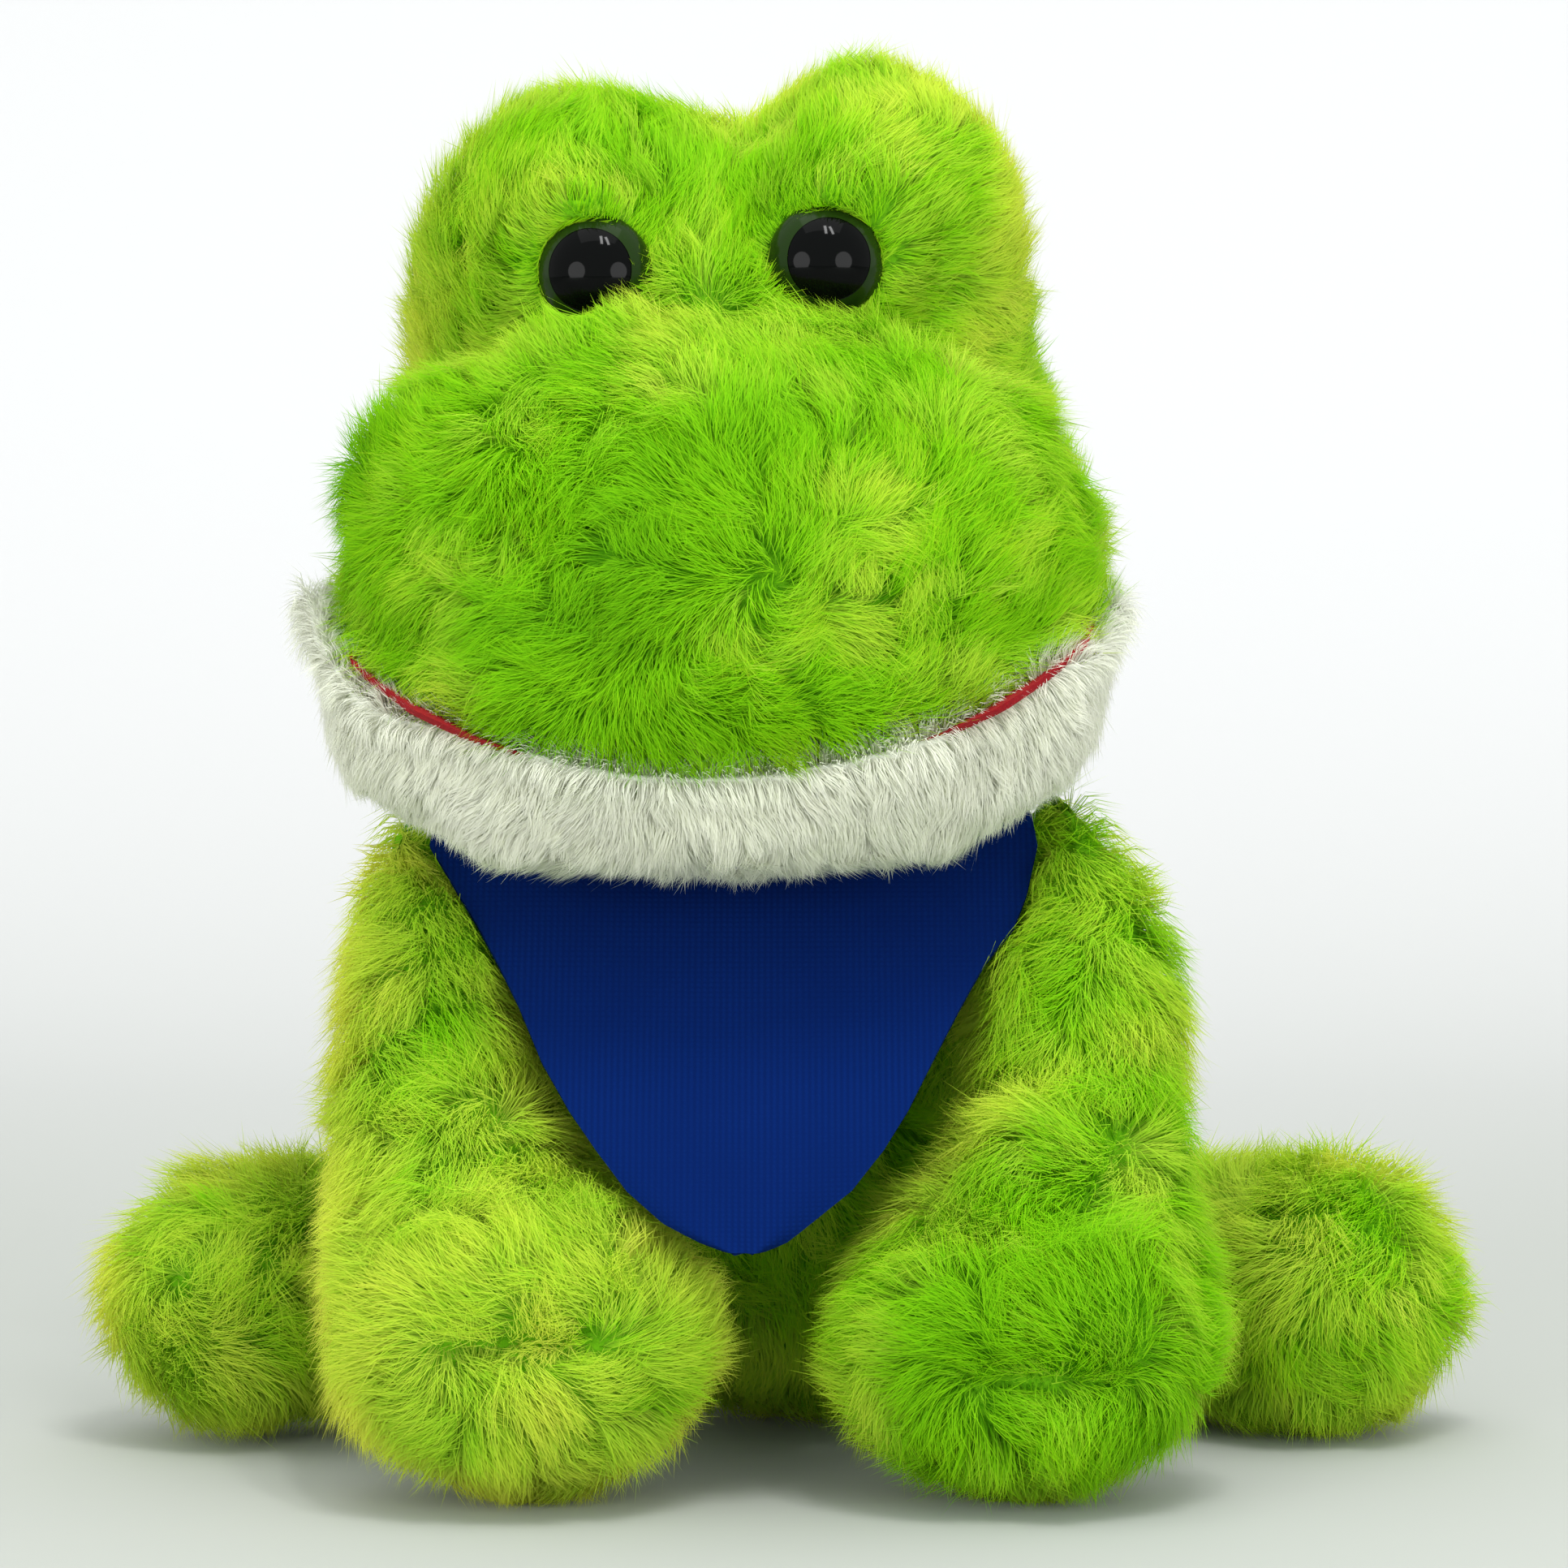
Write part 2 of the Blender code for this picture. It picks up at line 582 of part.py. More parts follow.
    def dome_height(self, radius):
        """Height of the eye's dome over the rim at a radius from its middle."""
        round_radius = (EYE_RADIUS**2 + EYE_RISE**2) / (2 * EYE_RISE)
        return math.sqrt(round_radius**2 - radius**2) - (round_radius - EYE_RISE)

    def dome(self, inner, outer, steps):
        """Points of the dome from an inner radius out to an outer one."""
        radii = [inner + (outer - inner) * i / steps for i in range(steps + 1)]
        return [(r, EYE_RIM + self.dome_height(r)) for r in radii]

    def iris_outline(self):
        """The rim of the eye with its stem; the pupil sits in its recess."""
        seat = EYE_RIM + self.dome_height(PUPIL_RADIUS) - PUPIL_SEAT
        return [
            (0.0, seat),
            (PUPIL_RADIUS, seat),
            *self.dome(PUPIL_RADIUS, EYE_RADIUS, IRIS_STEPS),
            (EYE_RADIUS, 0.0),
            (STEM_RADIUS, 0.0),
            (STEM_RADIUS, -STEM_LENGTH),
            (0.0, -STEM_LENGTH),
        ]

    def pupil_outline(self):
        """The black dome of the eye."""
        edge = PUPIL_RADIUS - PLAY
        seat = EYE_RIM + self.dome_height(PUPIL_RADIUS) - PUPIL_SEAT + PLAY
        return [*self.dome(0.0, edge, PUPIL_STEPS), (edge, seat), (0.0, seat)]

    def washer_outline(self):
        """The locking washer on the stem."""
        inner = STEM_RADIUS + PLAY
        return [
            (inner, WASHER_THICKNESS),
            (WASHER_RADIUS, WASHER_THICKNESS),
            (WASHER_RADIUS, 0.0),
            (inner, 0.0),
        ]


def build_neck_seam():
    """The doubled cloth of the neck seam, a ring between the head's underside and the torso's dish."""
    inner = NECK_BALL + PLAY
    outer = inner + NECK_SEAM_CLOTH
    first = math.asin(NECK_SEAM_INNER / inner)
    last = math.asin(NECK_SEAM_OUTER / inner)
    angles = [first + (last - first) * i / NECK_SEAM_STEPS for i in range(NECK_SEAM_STEPS + 1)]
    top = [(inner * math.sin(a), -inner * math.cos(a)) for a in angles]
    under = [(outer * math.sin(a), -outer * math.cos(a)) for a in reversed(angles)]
    ring = turned("neck_seam", [*top, *under], Matrix.Translation(NECK_PLACE), ring=True)
    piece("neck_seam", ring, "green_plush")


class Arm:
    """One front leg: a skin that is open where it is sewn to the chest, and its stuffing."""

    def __init__(self, side, sign):
        self.side = side
        sizes = (sign * ARM_SPREAD, -ARM_DEPTH, ARM_HEIGHT)
        self.lumps = []
        for centre, radii in ARM_SHARES:
            middle = scaled_to(centre, sizes)
            middle += Vector((lean(middle.z), -CHEST_FACE, 0.0))
            self.lumps.append((middle, scaled_to(radii, (ARM_SPREAD, ARM_DEPTH, ARM_HEIGHT))))

    def build(self):
        """Makes the arm's nodes."""
        level = Matrix.Identity(4)
        form = soft_form("arm_form", self.lumps, level, SKIN_GRAIN)
        fill = soft_form("arm_fill", shrunk(self.lumps, SKIN_WALL), level, LIMB_FILL_GRAIN)
        settle([form, fill])
        reach = ARM_SPREAD + ARM_HEIGHT
        back = box_mesh("back", (-reach, -CHEST_FACE - PLAY, -reach), (reach, reach, reach))
        floor = box_mesh("floor", (-reach, -reach, -reach), (reach, reach, 0.0))
        under = box_mesh("under", (-reach, -reach, -reach), (reach, reach, SKIN_WALL))
        within = combined("arm_within", fill, [back, under])
        shoulder = self.lumps[0][0]
        turn = Euler((math.pi / 2, 0.0, 0.0)).to_matrix().to_4x4()
        depth = 2 * abs(shoulder.y + CHEST_FACE) + SKIN_WALL
        at = Matrix.Translation((shoulder.x, -CHEST_FACE, shoulder.z)) @ turn
        way = cylinder_mesh("way", SEAM_OPENING, depth, at)
        skin = combined("arm_skin", form, [back, floor, grown(within, PLAY), way])
        piece(f"arm_skin_{self.side}", skin, "green_plush")
        piece(f"arm_filling_{self.side}", within, "fibre_fill")


class Leg:
    """One back leg: a skin that is open where it is sewn to the hip, and its stuffing."""

    def __init__(self, side, sign):
        self.side = side
        self.sign = sign
        sizes = (sign * LEG_REACH, LEG_DEPTH, LEG_HEIGHT)
        radius_sizes = (LEG_REACH, LEG_DEPTH, LEG_HEIGHT)
        self.lumps = [(scaled_to(c, sizes), scaled_to(r, radius_sizes)) for c, r in LEG_SHARES]

    def build(self):
        """Makes the leg's nodes."""
        level = Matrix.Identity(4)
        form = soft_form("leg_form", self.lumps, level, SKIN_GRAIN)
        fill = soft_form("leg_fill", shrunk(self.lumps, SKIN_WALL), level, LIMB_FILL_GRAIN)
        settle([form, fill])
        reach = LEG_REACH * 2
        hip = HIP_FACE + PLAY
        if self.sign > 0:
            inner = box_mesh("inner", (-reach, -reach, -reach), (hip, reach, reach))
        else:
            inner = box_mesh("inner", (-hip, -reach, -reach), (reach, reach, reach))
        floor = box_mesh("floor", (-reach, -reach, -reach), (reach, reach, 0.0))
        under = box_mesh("under", (-reach, -reach, -reach), (reach, reach, SKIN_WALL))
        within = combined("leg_within", fill, [inner, under])
        thigh = self.lumps[0][0]
        turn = Euler((0.0, math.pi / 2, 0.0)).to_matrix().to_4x4()
        depth = 2 * (abs(thigh.x) - HIP_FACE + SKIN_WALL)
        at = Matrix.Translation((self.sign * HIP_FACE, thigh.y, thigh.z)) @ turn
        way = cylinder_mesh("way", SEAM_OPENING, depth, at)
        skin = combined("leg_skin", form, [inner, floor, grown(within, PLAY), way])
        piece(f"leg_skin_{self.side}", skin, "green_plush")
        piece(f"leg_filling_{self.side}", within, "fibre_fill")


class Bib:
    """The cloth bib: the part over the shoulders, the flap that hangs from it, and its neck band."""

    columns = 4

    def row_points(self, row):
        """The points of one row, from the frog's right to its left."""
        forward, rise, half, lift = row
        height = BIB_TOP + rise * BIB_DROP
        points = []
        for i in range(self.columns + 1):
            across = 2 * i / self.columns - 1
            points.append(
                (
                    BIB_MIDDLE + across * half * BIB_WIDTH,
                    -CHEST_FACE - forward * BIB_WIDTH,
                    height + lift * BIB_DROP * across**2,
                )
            )
        return points

    def sheet(self):
        """The whole bib as a thin solid."""
        bm = bmesh.new()
        lines = [[bm.verts.new(p) for p in self.row_points(row)] for row in BIB_SHARES]
        for upper, lower in zip(lines, lines[1:]):
            for i in range(self.columns):
                bm.faces.new((upper[i], lower[i], lower[i + 1], upper[i + 1]))
        obj = helper("bib", closed_mesh("bib", bm))
        drape = obj.modifiers.new("drape", "SUBSURF")
        drape.levels = 1
        drape.render_levels = 1
        cloth = obj.modifiers.new("cloth", "SOLIDIFY")
        cloth.thickness = CLOTH
        cloth.offset = 0.0
        obj.modifiers.new("facets", "TRIANGULATE")
        return baked(obj)

    def build(self):
        """Makes the bib's nodes."""
        whole = self.sheet()
        reach = BIB_WIDTH + TORSO_DEPTH
        below = box_mesh("below", (-reach, -reach, -reach), (reach, reach, BIB_FOLD + PLAY / 2))
        above = box_mesh("above", (-reach, -reach, BIB_FOLD - PLAY / 2), (reach, reach, reach))
        piece("bib_yoke", combined("bib_yoke", whole.copy(), [below]), "navy_knit")
        piece("bib_flap", combined("bib_flap", whole, [above]), "navy_knit")
        piece("neck_band", neck_band(0.0), "navy_knit")


def neck_band(play):
    """The band round the neck that carries the bib; play makes its bed in the pile of the torso."""
    middle = Vector(NECK_PLACE) + Vector((0.0, 0.0, BAND_HEIGHT / 2 - BAND_DROP))
    inner = BAND_RADIUS - play
    outer = BAND_RADIUS + CLOTH + play
    half = BAND_HEIGHT / 2 + play
    outline = [(outer, half), (outer, -half), (inner, -half), (inner, half)]
    return turned("neck_band", outline, Matrix.Translation(middle), ring=True)


clear_scene()
Torso().build()
build_neck_seam()
Head().build()
for side_name, side_sign in (("right", -1), ("left", 1)):
    Arm(side_name, side_sign).build()
    Leg(side_name, side_sign).build()
Bib().build()
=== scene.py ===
"""A seated plush frog in long pile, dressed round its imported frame.

Metres, +Z up. The frog looks along -Y. Every hide is a smooth copy of its CAD solid, sunk under the tips of
the pile. The pile itself is grown on it strand by strand, from one seeded generator for each hide.
"""

import json
import logging
import math
from dataclasses import dataclass, field, replace
from enum import Enum

import bmesh
import bpy
import numpy as np
from mathutils import Matrix, Vector
from mathutils.bvhtree import BVHTree


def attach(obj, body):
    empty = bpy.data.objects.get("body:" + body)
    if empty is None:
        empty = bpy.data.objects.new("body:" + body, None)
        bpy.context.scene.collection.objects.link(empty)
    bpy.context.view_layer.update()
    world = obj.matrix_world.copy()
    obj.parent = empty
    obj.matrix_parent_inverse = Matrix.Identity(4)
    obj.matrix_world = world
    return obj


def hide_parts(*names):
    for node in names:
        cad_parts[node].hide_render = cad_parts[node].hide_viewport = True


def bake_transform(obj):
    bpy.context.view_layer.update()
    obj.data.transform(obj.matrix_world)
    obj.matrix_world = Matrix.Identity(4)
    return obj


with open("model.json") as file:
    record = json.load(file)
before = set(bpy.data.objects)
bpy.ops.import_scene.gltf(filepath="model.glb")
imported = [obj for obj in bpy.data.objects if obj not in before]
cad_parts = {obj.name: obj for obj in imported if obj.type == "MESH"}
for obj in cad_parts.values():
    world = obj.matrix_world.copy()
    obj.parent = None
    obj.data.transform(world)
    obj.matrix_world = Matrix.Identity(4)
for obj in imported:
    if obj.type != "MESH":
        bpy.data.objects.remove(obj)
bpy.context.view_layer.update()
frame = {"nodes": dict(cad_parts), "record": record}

MM = 0.001
WELD = 0.001 * MM
TINY = 1e-12
LOG = logging.getLogger("plush_frog")
Array = np.ndarray


def mm(*values: float) -> tuple[float, ...]:
    """Turns lengths in millimetres into metres."""
    return tuple(value * MM for value in values)


def linear(code: str) -> tuple[float, float, float, float]:
    """Turns an sRGB hex colour into linear red, green, blue and alpha.

    Args:
        code: the colour as RRGGBB.

    Returns:
        The four linear values, with an alpha of 1.
    """
    parts = [int(code[i : i + 2], 16) / 255 for i in (0, 2, 4)]
    red, green, blue = (c / 12.92 if c <= 0.04045 else ((c + 0.055) / 1.055) ** 2.4 for c in parts)
    return (red, green, blue, 1.0)


def add_node(tree: bpy.types.NodeTree, kind: str, links: dict | None = None, **settings) -> bpy.types.Node:
    """Adds one shader node.

    Args:
        tree: the node tree that takes it.
        kind: the node's type name.
        links: input names or numbers, each with the output socket or the value that it takes.
        settings: the node's own properties.

    Returns:
        The new node.
    """
    node = tree.nodes.new(kind)
    for name, value in settings.items():
        setattr(node, name, value)
    for key, value in (links or {}).items():
        socket = node.inputs[key]
        if isinstance(value, bpy.types.NodeSocket):
            tree.links.new(value, socket)
        else:
            socket.default_value = value
    return node


def new_material(name: str, roughness: float, sheen: float) -> tuple[bpy.types.Material, bpy.types.Node]:
    """Starts a material with a bare Principled shader.

    Args:
        name: what the finish is called.
        roughness: the shader's roughness.
        sheen: its specular level.

    Returns:
        The material and its Principled node.
    """
    made = bpy.data.materials.new(name)
    made.use_nodes = True
    shader = made.node_tree.nodes["Principled BSDF"]
    shader.inputs["Roughness"].default_value = roughness
    shader.inputs["Specular IOR Level"].default_value = sheen
    return made, shader


@dataclass(frozen=True)
class PileFinish:
    """Dyed pile: painted shade dulls the roots, and painted light makes the tips lighter and yellower, where
    light comes through.
    """

    name: str
    root: str
    body: str
    tip: str
    pale: str
    glow: float = 0.5
    body_at: float = 0.4
    roughness: float = 0.6
    sheen: float = 0.1

    def material(self) -> bpy.types.Material:
        """Builds the strands' material, coloured by the strands' own attributes.

        Returns:
            The material.
        """
        made, shader = new_material(self.name, self.roughness, self.sheen)
        tree = made.node_tree
        along = add_node(tree, "ShaderNodeAttribute", attribute_name="along").outputs["Fac"]
        tone = add_node(tree, "ShaderNodeAttribute", attribute_name="tone").outputs["Fac"]
        # Painted shade and light: the ramp darkens the roots and lightens the tips, and the tone mixes in the
        # pale colour.
        ramp = add_node(tree, "ShaderNodeValToRGB", {"Fac": along})
        ramp.color_ramp.interpolation = "EASE"
        stops = ramp.color_ramp.elements
        stops[0].color = linear(self.root)
        stops[1].color = linear(self.tip)
        stops.new(self.body_at).color = linear(self.body)
        ends = {"Factor": tone, "A": ramp.outputs["Color"], "B": linear(self.pale)}
        dyed = add_node(tree, "ShaderNodeMix", ends, data_type="RGBA").outputs["Result"]
        tree.links.new(dyed, shader.inputs["Base Color"])
        through = add_node(tree, "ShaderNodeBsdfTranslucent", {"Color": dyed})
        sides = {0: self.glow, 1: shader.outputs["BSDF"], 2: through.outputs["BSDF"]}
        both = add_node(tree, "ShaderNodeMixShader", sides)
        tree.links.new(both.outputs["Shader"], tree.nodes["Material Output"].inputs["Surface"])
        return made


@dataclass(frozen=True)
class ClothFinish:
    """A dull cloth or filling, whose colour and relief follow noise as wide as the bunches of its fibres."""

    name: str
    colour: str
    shade: str
    fibre: float
    relief: float
    detail: float = 5.0
    roughness: float = 0.9
    sheen: float = 0.2
    strength: float = 1.0

    def pattern(
        self, tree: bpy.types.NodeTree, place: bpy.types.NodeSocket
    ) -> tuple[bpy.types.NodeSocket, bpy.types.NodeSocket]:
        """Builds what the colour and the relief follow.

        Args:
            tree: the material's node tree.
            place: the place on the piece.

        Returns:
            The sockets for the colour and for the relief.
        """
        settings = {"Vector": place, "Scale": 1.0 / self.fibre, "Detail": self.detail}
        bunches = add_node(tree, "ShaderNodeTexNoise", settings).outputs["Fac"]
        return bunches, bunches

    def material(self) -> bpy.types.Material:
        """Builds the cloth.

        Returns:
            The material.
        """
        made, shader = new_material(self.name, self.roughness, self.sheen)
        tree = made.node_tree
        place = add_node(tree, "ShaderNodeTexCoord").outputs["Object"]
        tint, height = self.pattern(tree, place)
        ends = {"Factor": tint, "A": linear(self.shade), "B": linear(self.colour)}
        mixed = add_node(tree, "ShaderNodeMix", ends, data_type="RGBA")
        settings = {"Height": height, "Distance": self.relief, "Strength": self.strength}
        bump = add_node(tree, "ShaderNodeBump", settings)
        tree.links.new(mixed.outputs["Result"], shader.inputs["Base Color"])
        tree.links.new(bump.outputs["Normal"], shader.inputs["Normal"])
        return made


@dataclass(frozen=True)
class JerseyFinish(ClothFinish):
    """Knitted cloth with upright wales, and an unevenness of the dye as wide as the fibre length says."""

    wale: float = 1.1 * MM
    course: float = 0.8 * MM
    band: float = 3.15
    wale_wobble: float = 0.4
    course_wobble: float = 0.3
    wobble_detail: float = 1.0
    wobble_scale: float = 60.0

    def pattern(
        self, tree: bpy.types.NodeTree, place: bpy.types.NodeSocket
    ) -> tuple[bpy.types.NodeSocket, bpy.types.NodeSocket]:
        """Builds the wales and the courses, and the dye over the wales.

        Args:
            tree: the material's node tree.
            place: the place on the piece.

        Returns:
            The sockets for the colour and for the relief.
        """
        dye = super().pattern(tree, place)[0]
        waves = []
        rows = ((self.wale, "X", self.wale_wobble), (self.course, "Z", self.course_wobble))
        for gap, way, wobble in rows:
            settings = {"Vector": place, "Scale": 1.0 / gap / self.band, "Distortion": wobble}
            settings |= {"Detail": self.wobble_detail, "Detail Scale": self.wobble_scale}
            wave = add_node(tree, "ShaderNodeTexWave", settings, wave_type="BANDS", bands_direction=way)
            waves.append(wave.outputs["Fac"])
        tint = add_node(tree, "ShaderNodeMath", {0: waves[0], 1: dye}, operation="MULTIPLY")
        height = add_node(tree, "ShaderNodeMath", {0: waves[0], 1: waves[1]}, operation="MULTIPLY")
        return tint.outputs["Value"], height.outputs["Value"]


@dataclass(frozen=True)
class PlasticFinish:
    """Moulded plastic: smooth, with hardly visible flow marks 3 mm wide that break up the shine."""

    name: str
    colour: str
    roughness: float
    gloss: float
    ior: float = 1.49
    mark: float = 2.857 * MM
    detail: float = 2.0
    wear: tuple[float, float] = (0.8, 1.3)

    def material(self) -> bpy.types.Material:
        """Builds the plastic with faint wear in its roughness.

        Returns:
            The material.
        """
        made, shader = new_material(self.name, self.roughness, self.gloss)
        tree = made.node_tree
        place = add_node(tree, "ShaderNodeTexCoord").outputs["Object"]
        settings = {"Vector": place, "Scale": 1.0 / self.mark, "Detail": self.detail}
        marks = add_node(tree, "ShaderNodeTexNoise", settings).outputs["Fac"]
        least, most = (self.roughness * share for share in self.wear)
        rough = add_node(tree, "ShaderNodeMapRange", {"Value": marks, "To Min": least, "To Max": most})
        tree.links.new(rough.outputs["Result"], shader.inputs["Roughness"])
        shader.inputs["Base Color"].default_value = linear(self.colour)
        shader.inputs["IOR"].default_value = self.ior
        return made


class Finish(Enum):
    """Every finish on the frog, each made once."""

    # Dyed acrylic pile, brushed: soft dull strands, deep green low down as painted shade, and yellow towards
    # the tips as painted light coming through.
    GREEN_PILE = PileFinish(
        "lime_acrylic_pile",
        root="62B006",
        body="94D80E",
        tip="C8EC22",
        pale="F2F264",
    )
    # Undyed acrylic pile, cut shorter: a soft white that lets light through and holds no dark roots.
    WHITE_PILE = PileFinish(
        "white_acrylic_pile",
        root="F0F2E2",
        body="F8FAEC",
        tip="FCFDF2",
        pale="FDFDF4",
        glow=0.54,
    )
    # Knitted polyester backing in the pile's own dye: a dull mottled ground between the strands.
    GREEN_BACKING = ClothFinish(
        "green_knitted_backing",
        colour="7CBE18",
        shade="4E8A0A",
        fibre=3.846 * MM,
        relief=0.4 * MM,
        detail=3.0,
        roughness=0.95,
        sheen=0.1,
    )
    # The same backing without dye: an even off-white ground between white strands.
    WHITE_BACKING = replace(GREEN_BACKING, name="white_knitted_backing", colour="DADDD0", shade="B9BDAE")
    # Dyed cotton jersey, knitted fine: a deep dull blue with hardly any shine and faint upright wales.
    JERSEY = JerseyFinish(
        "navy_cotton_jersey",
        colour="06215F",
        shade="051A4F",
        fibre=22.2 * MM,
        relief=0.15 * MM,
        detail=4.0,
        roughness=1.0,
        sheen=0.02,
        strength=0.5,
    )
    # Pressed wool felt: a deep red with a short fibrous nap.
    RED_FELT = ClothFinish(
        "red_wool_felt",
        colour="B01020",
        shade="6A0610",
        fibre=0.7 * MM,
        relief=0.14 * MM,
    )
    # Loose polyester fibre: white, in soft clumps.
    FIBRE_FILL = ClothFinish(
        "polyester_fibre_fill",
        colour="F0F0EC",
        shade="D0D0CA",
        fibre=2.5 * MM,
        relief=0.5 * MM,
    )
    # Plain woven calico: cream, with the thread bunches just showing.
    POUCH_CLOTH = ClothFinish(
        "calico_pouch_cloth",
        colour="D8D2C2",
        shade="B8B09C",
        fibre=0.9 * MM,
        relief=0.18 * MM,
    )
    # Polished acrylic in black: small sharp lights on a dome that shows no colour of its own.
    BLACK_ACRYLIC = PlasticFinish("black_acrylic_dome", "030404", roughness=0.06, gloss=0.08)
    # Polished acrylic in dark green: a slightly softer shine with a trace of green in it.
    GREEN_ACRYLIC = PlasticFinish("dark_green_acrylic_rim", "182C08", roughness=0.10, gloss=0.12)
    # Moulded nylon, left as it came from the mould: a waxy white.
    WHITE_NYLON = PlasticFinish("white_nylon_washer", "E2E2DE", roughness=0.35, gloss=0.5)

    def get(self) -> bpy.types.Material:
        """Returns the finish's material and makes it the first time."""
        return bpy.data.materials.get(self.value.name) or self.value.material()


def linked(name: str, data: bpy.types.ID) -> bpy.types.Object:
    """Makes an object of a mesh, a lamp or a camera, and links it into the scene.

    Args:
        name: the object's name.
        data: what it shows.

    Returns:
        The object.
    """
    obj = bpy.data.objects.new(name, data)
    bpy.context.scene.collection.objects.link(obj)
    return obj


def add_piece(
    name: str, mesh: bpy.types.Mesh, finish: Finish, body: str, slot: str, *replaced: str
) -> bpy.types.Object:
    """Makes a finished mesh a piece of the frog.

    Args:
        name: the piece's name.
        mesh: its mesh, in the row frame.
        finish: what it is made of.
        body: the body that it rides on, or an empty name for a piece that rides on none.
        slot: the record's material slot, which is not used.
        replaced: the CAD nodes that it stands for, if it stands for any.

    Returns:
        The new object.
    """
    obj = linked(name, mesh)
    mesh.materials.clear()
    mesh.materials.append(finish.get())
    if body:
        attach(obj, body)
    if replaced:
        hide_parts(*replaced)
    LOG.info("made %s: %d faces", name, len(mesh.polygons))
    return obj


def closed_off(bm: bmesh.types.BMesh, name: str, sharp: float = 0.0) -> bpy.types.Mesh:
    """Turns a bmesh into a mesh with smooth faces, and frees it.

    Args:
        bm: what holds the shape.
        name: the mesh's name.
        sharp: the angle in degrees past which an edge is drawn sharp, or 0 for none.

    Returns:
        The mesh.
    """
    mesh = bpy.data.meshes.new(name)
    bm.to_mesh(mesh)
    bm.free()
    mesh.shade_smooth()
    if sharp:
        mesh.set_sharp_from_angle(angle=math.radians(sharp))
    return mesh


def merged_copy(*nodes: str) -> bpy.types.Mesh:
    """Copies CAD nodes into one mesh with its doubles merged.

    Args:
        nodes: the nodes' names.

    Returns:
        The new mesh.
    """
    bm = bmesh.new()
    for name in nodes:
        bm.from_mesh(frame["nodes"][name].data)
    bmesh.ops.remove_doubles(bm, verts=bm.verts, dist=WELD)
    return closed_off(bm, "copy")


def evened(mesh: bpy.types.Mesh, voxel: float, rounds: int) -> bpy.types.Mesh:
    """Makes one smooth closed skin round a mesh.

    Args:
        mesh: the mesh to follow.
        voxel: the size of the new faces.
        rounds: how often the skin is smoothed.

    Returns:
        The new mesh, in triangles.
    """
    obj = linked("passing", mesh)
    skin = obj.modifiers.new("skin", "REMESH")
    skin.mode = "VOXEL"
    skin.voxel_size = voxel
    smooth = obj.modifiers.new("smooth", "SMOOTH")
    smooth.factor = 0.5
    smooth.iterations = rounds
    obj.modifiers.new("facets", "TRIANGULATE")
    bpy.context.view_layer.update()
    graph = bpy.context.evaluated_depsgraph_get()
    made = bpy.data.meshes.new_from_object(obj.evaluated_get(graph))
    bpy.data.objects.remove(obj)
    return made


def lengths(vectors: Array) -> Array:
    """The length of each row."""
    return np.linalg.norm(vectors, axis=-1)


def unit(vectors: Array) -> Array:
    """Scales each row to a length of 1."""
    return vectors / np.maximum(lengths(vectors), TINY)[..., None]


def soft_step(values: Array, low: float, high: float) -> Array:
    """Rises smoothly from 0 at low to 1 at high."""
    t = np.clip((values - low) / (high - low), 0.0, 1.0)
    return t * t * (3 - 2 * t)


def drift(points: Array, wave: float, rng: np.random.Generator) -> Array:
    """Makes a smooth unevenness over space from a few crossing waves.

    Args:
        points: rows of x, y and z.
        wave: the length over which it changes.
        rng: where its directions and phases come from.

    Returns:
        One value for each point, mostly between -1 and 1.
    """
    waves = 5
    spread = (0.7, 1.5)
    # What five waves together seldom reach past.
    highest = 2.2
    total = np.zeros(len(points))
    for _ in range(waves):
        direction = unit(rng.normal(size=3))
        pace = 2 * math.pi / (wave * rng.uniform(*spread))
        total += np.sin(points @ direction * pace + rng.uniform(0, 2 * math.pi))
    return total / highest


def distance_to_line(points: Array, line: list[Array]) -> Array:
    """Finds how far each point lies from a line through several places.

    Args:
        points: rows of x, y and z.
        line: the places.

    Returns:
        One distance for each point.
    """
    best = np.full(len(points), np.inf)
    for start, end in zip(line, line[1:]):
        step = end - start
        t = np.clip((points - start) @ step / max(step @ step, TINY), 0.0, 1.0)
        best = np.minimum(best, lengths(points - start - t[:, None] * step))
    return best


@dataclass
class Whorl:
    """A place or a short level line on a hide that its pile turns about or parts at, seen from the front."""

    x: float
    z: float
    reach: float
    push: float = 1.0
    spin: float = 0.0
    half: float = 0.0


class Look(Enum):
    """The way that a place on a hide is looked for."""

    FRONT = Vector((0.0, 1.0, 0.0))
    ABOVE = Vector((0.0, 0.0, -1.0))


@dataclass
class Crease:
    """A seam or a dip drawn in across a hide, with its line given as seen from one side."""

    line: list[tuple[float, ...]]
    width: float
    depth: float
    look: Look = Look.FRONT
    thinning: float = 0.35


@dataclass
class Pull:
    """A place, or a line of places, where a hide is drawn out of its CAD shape."""

    line: list[tuple[float, ...]]
    way: tuple[float, ...]
    reach: float


@dataclass
class Eye:
    """One safety eye as the frame holds it."""

    side: str
    centre: Array
    axis: Array
    radius: float = 10.0 * MM
    frog_middle: float = -10.0 * MM
    inwards: float = 0.8
    downwards: float = 0.6

    def inner_corner(self) -> Array:
        """The way from the eye's middle to its lower inner corner."""
        across = math.copysign(self.inwards, self.frog_middle - self.centre[0])
        return unit(np.array((across, 0.0, -self.downwards)))


def node_points(name: str) -> Array:
    """The points of a CAD node."""
    return np.array([v.co for v in frame["nodes"][name].data.vertices])


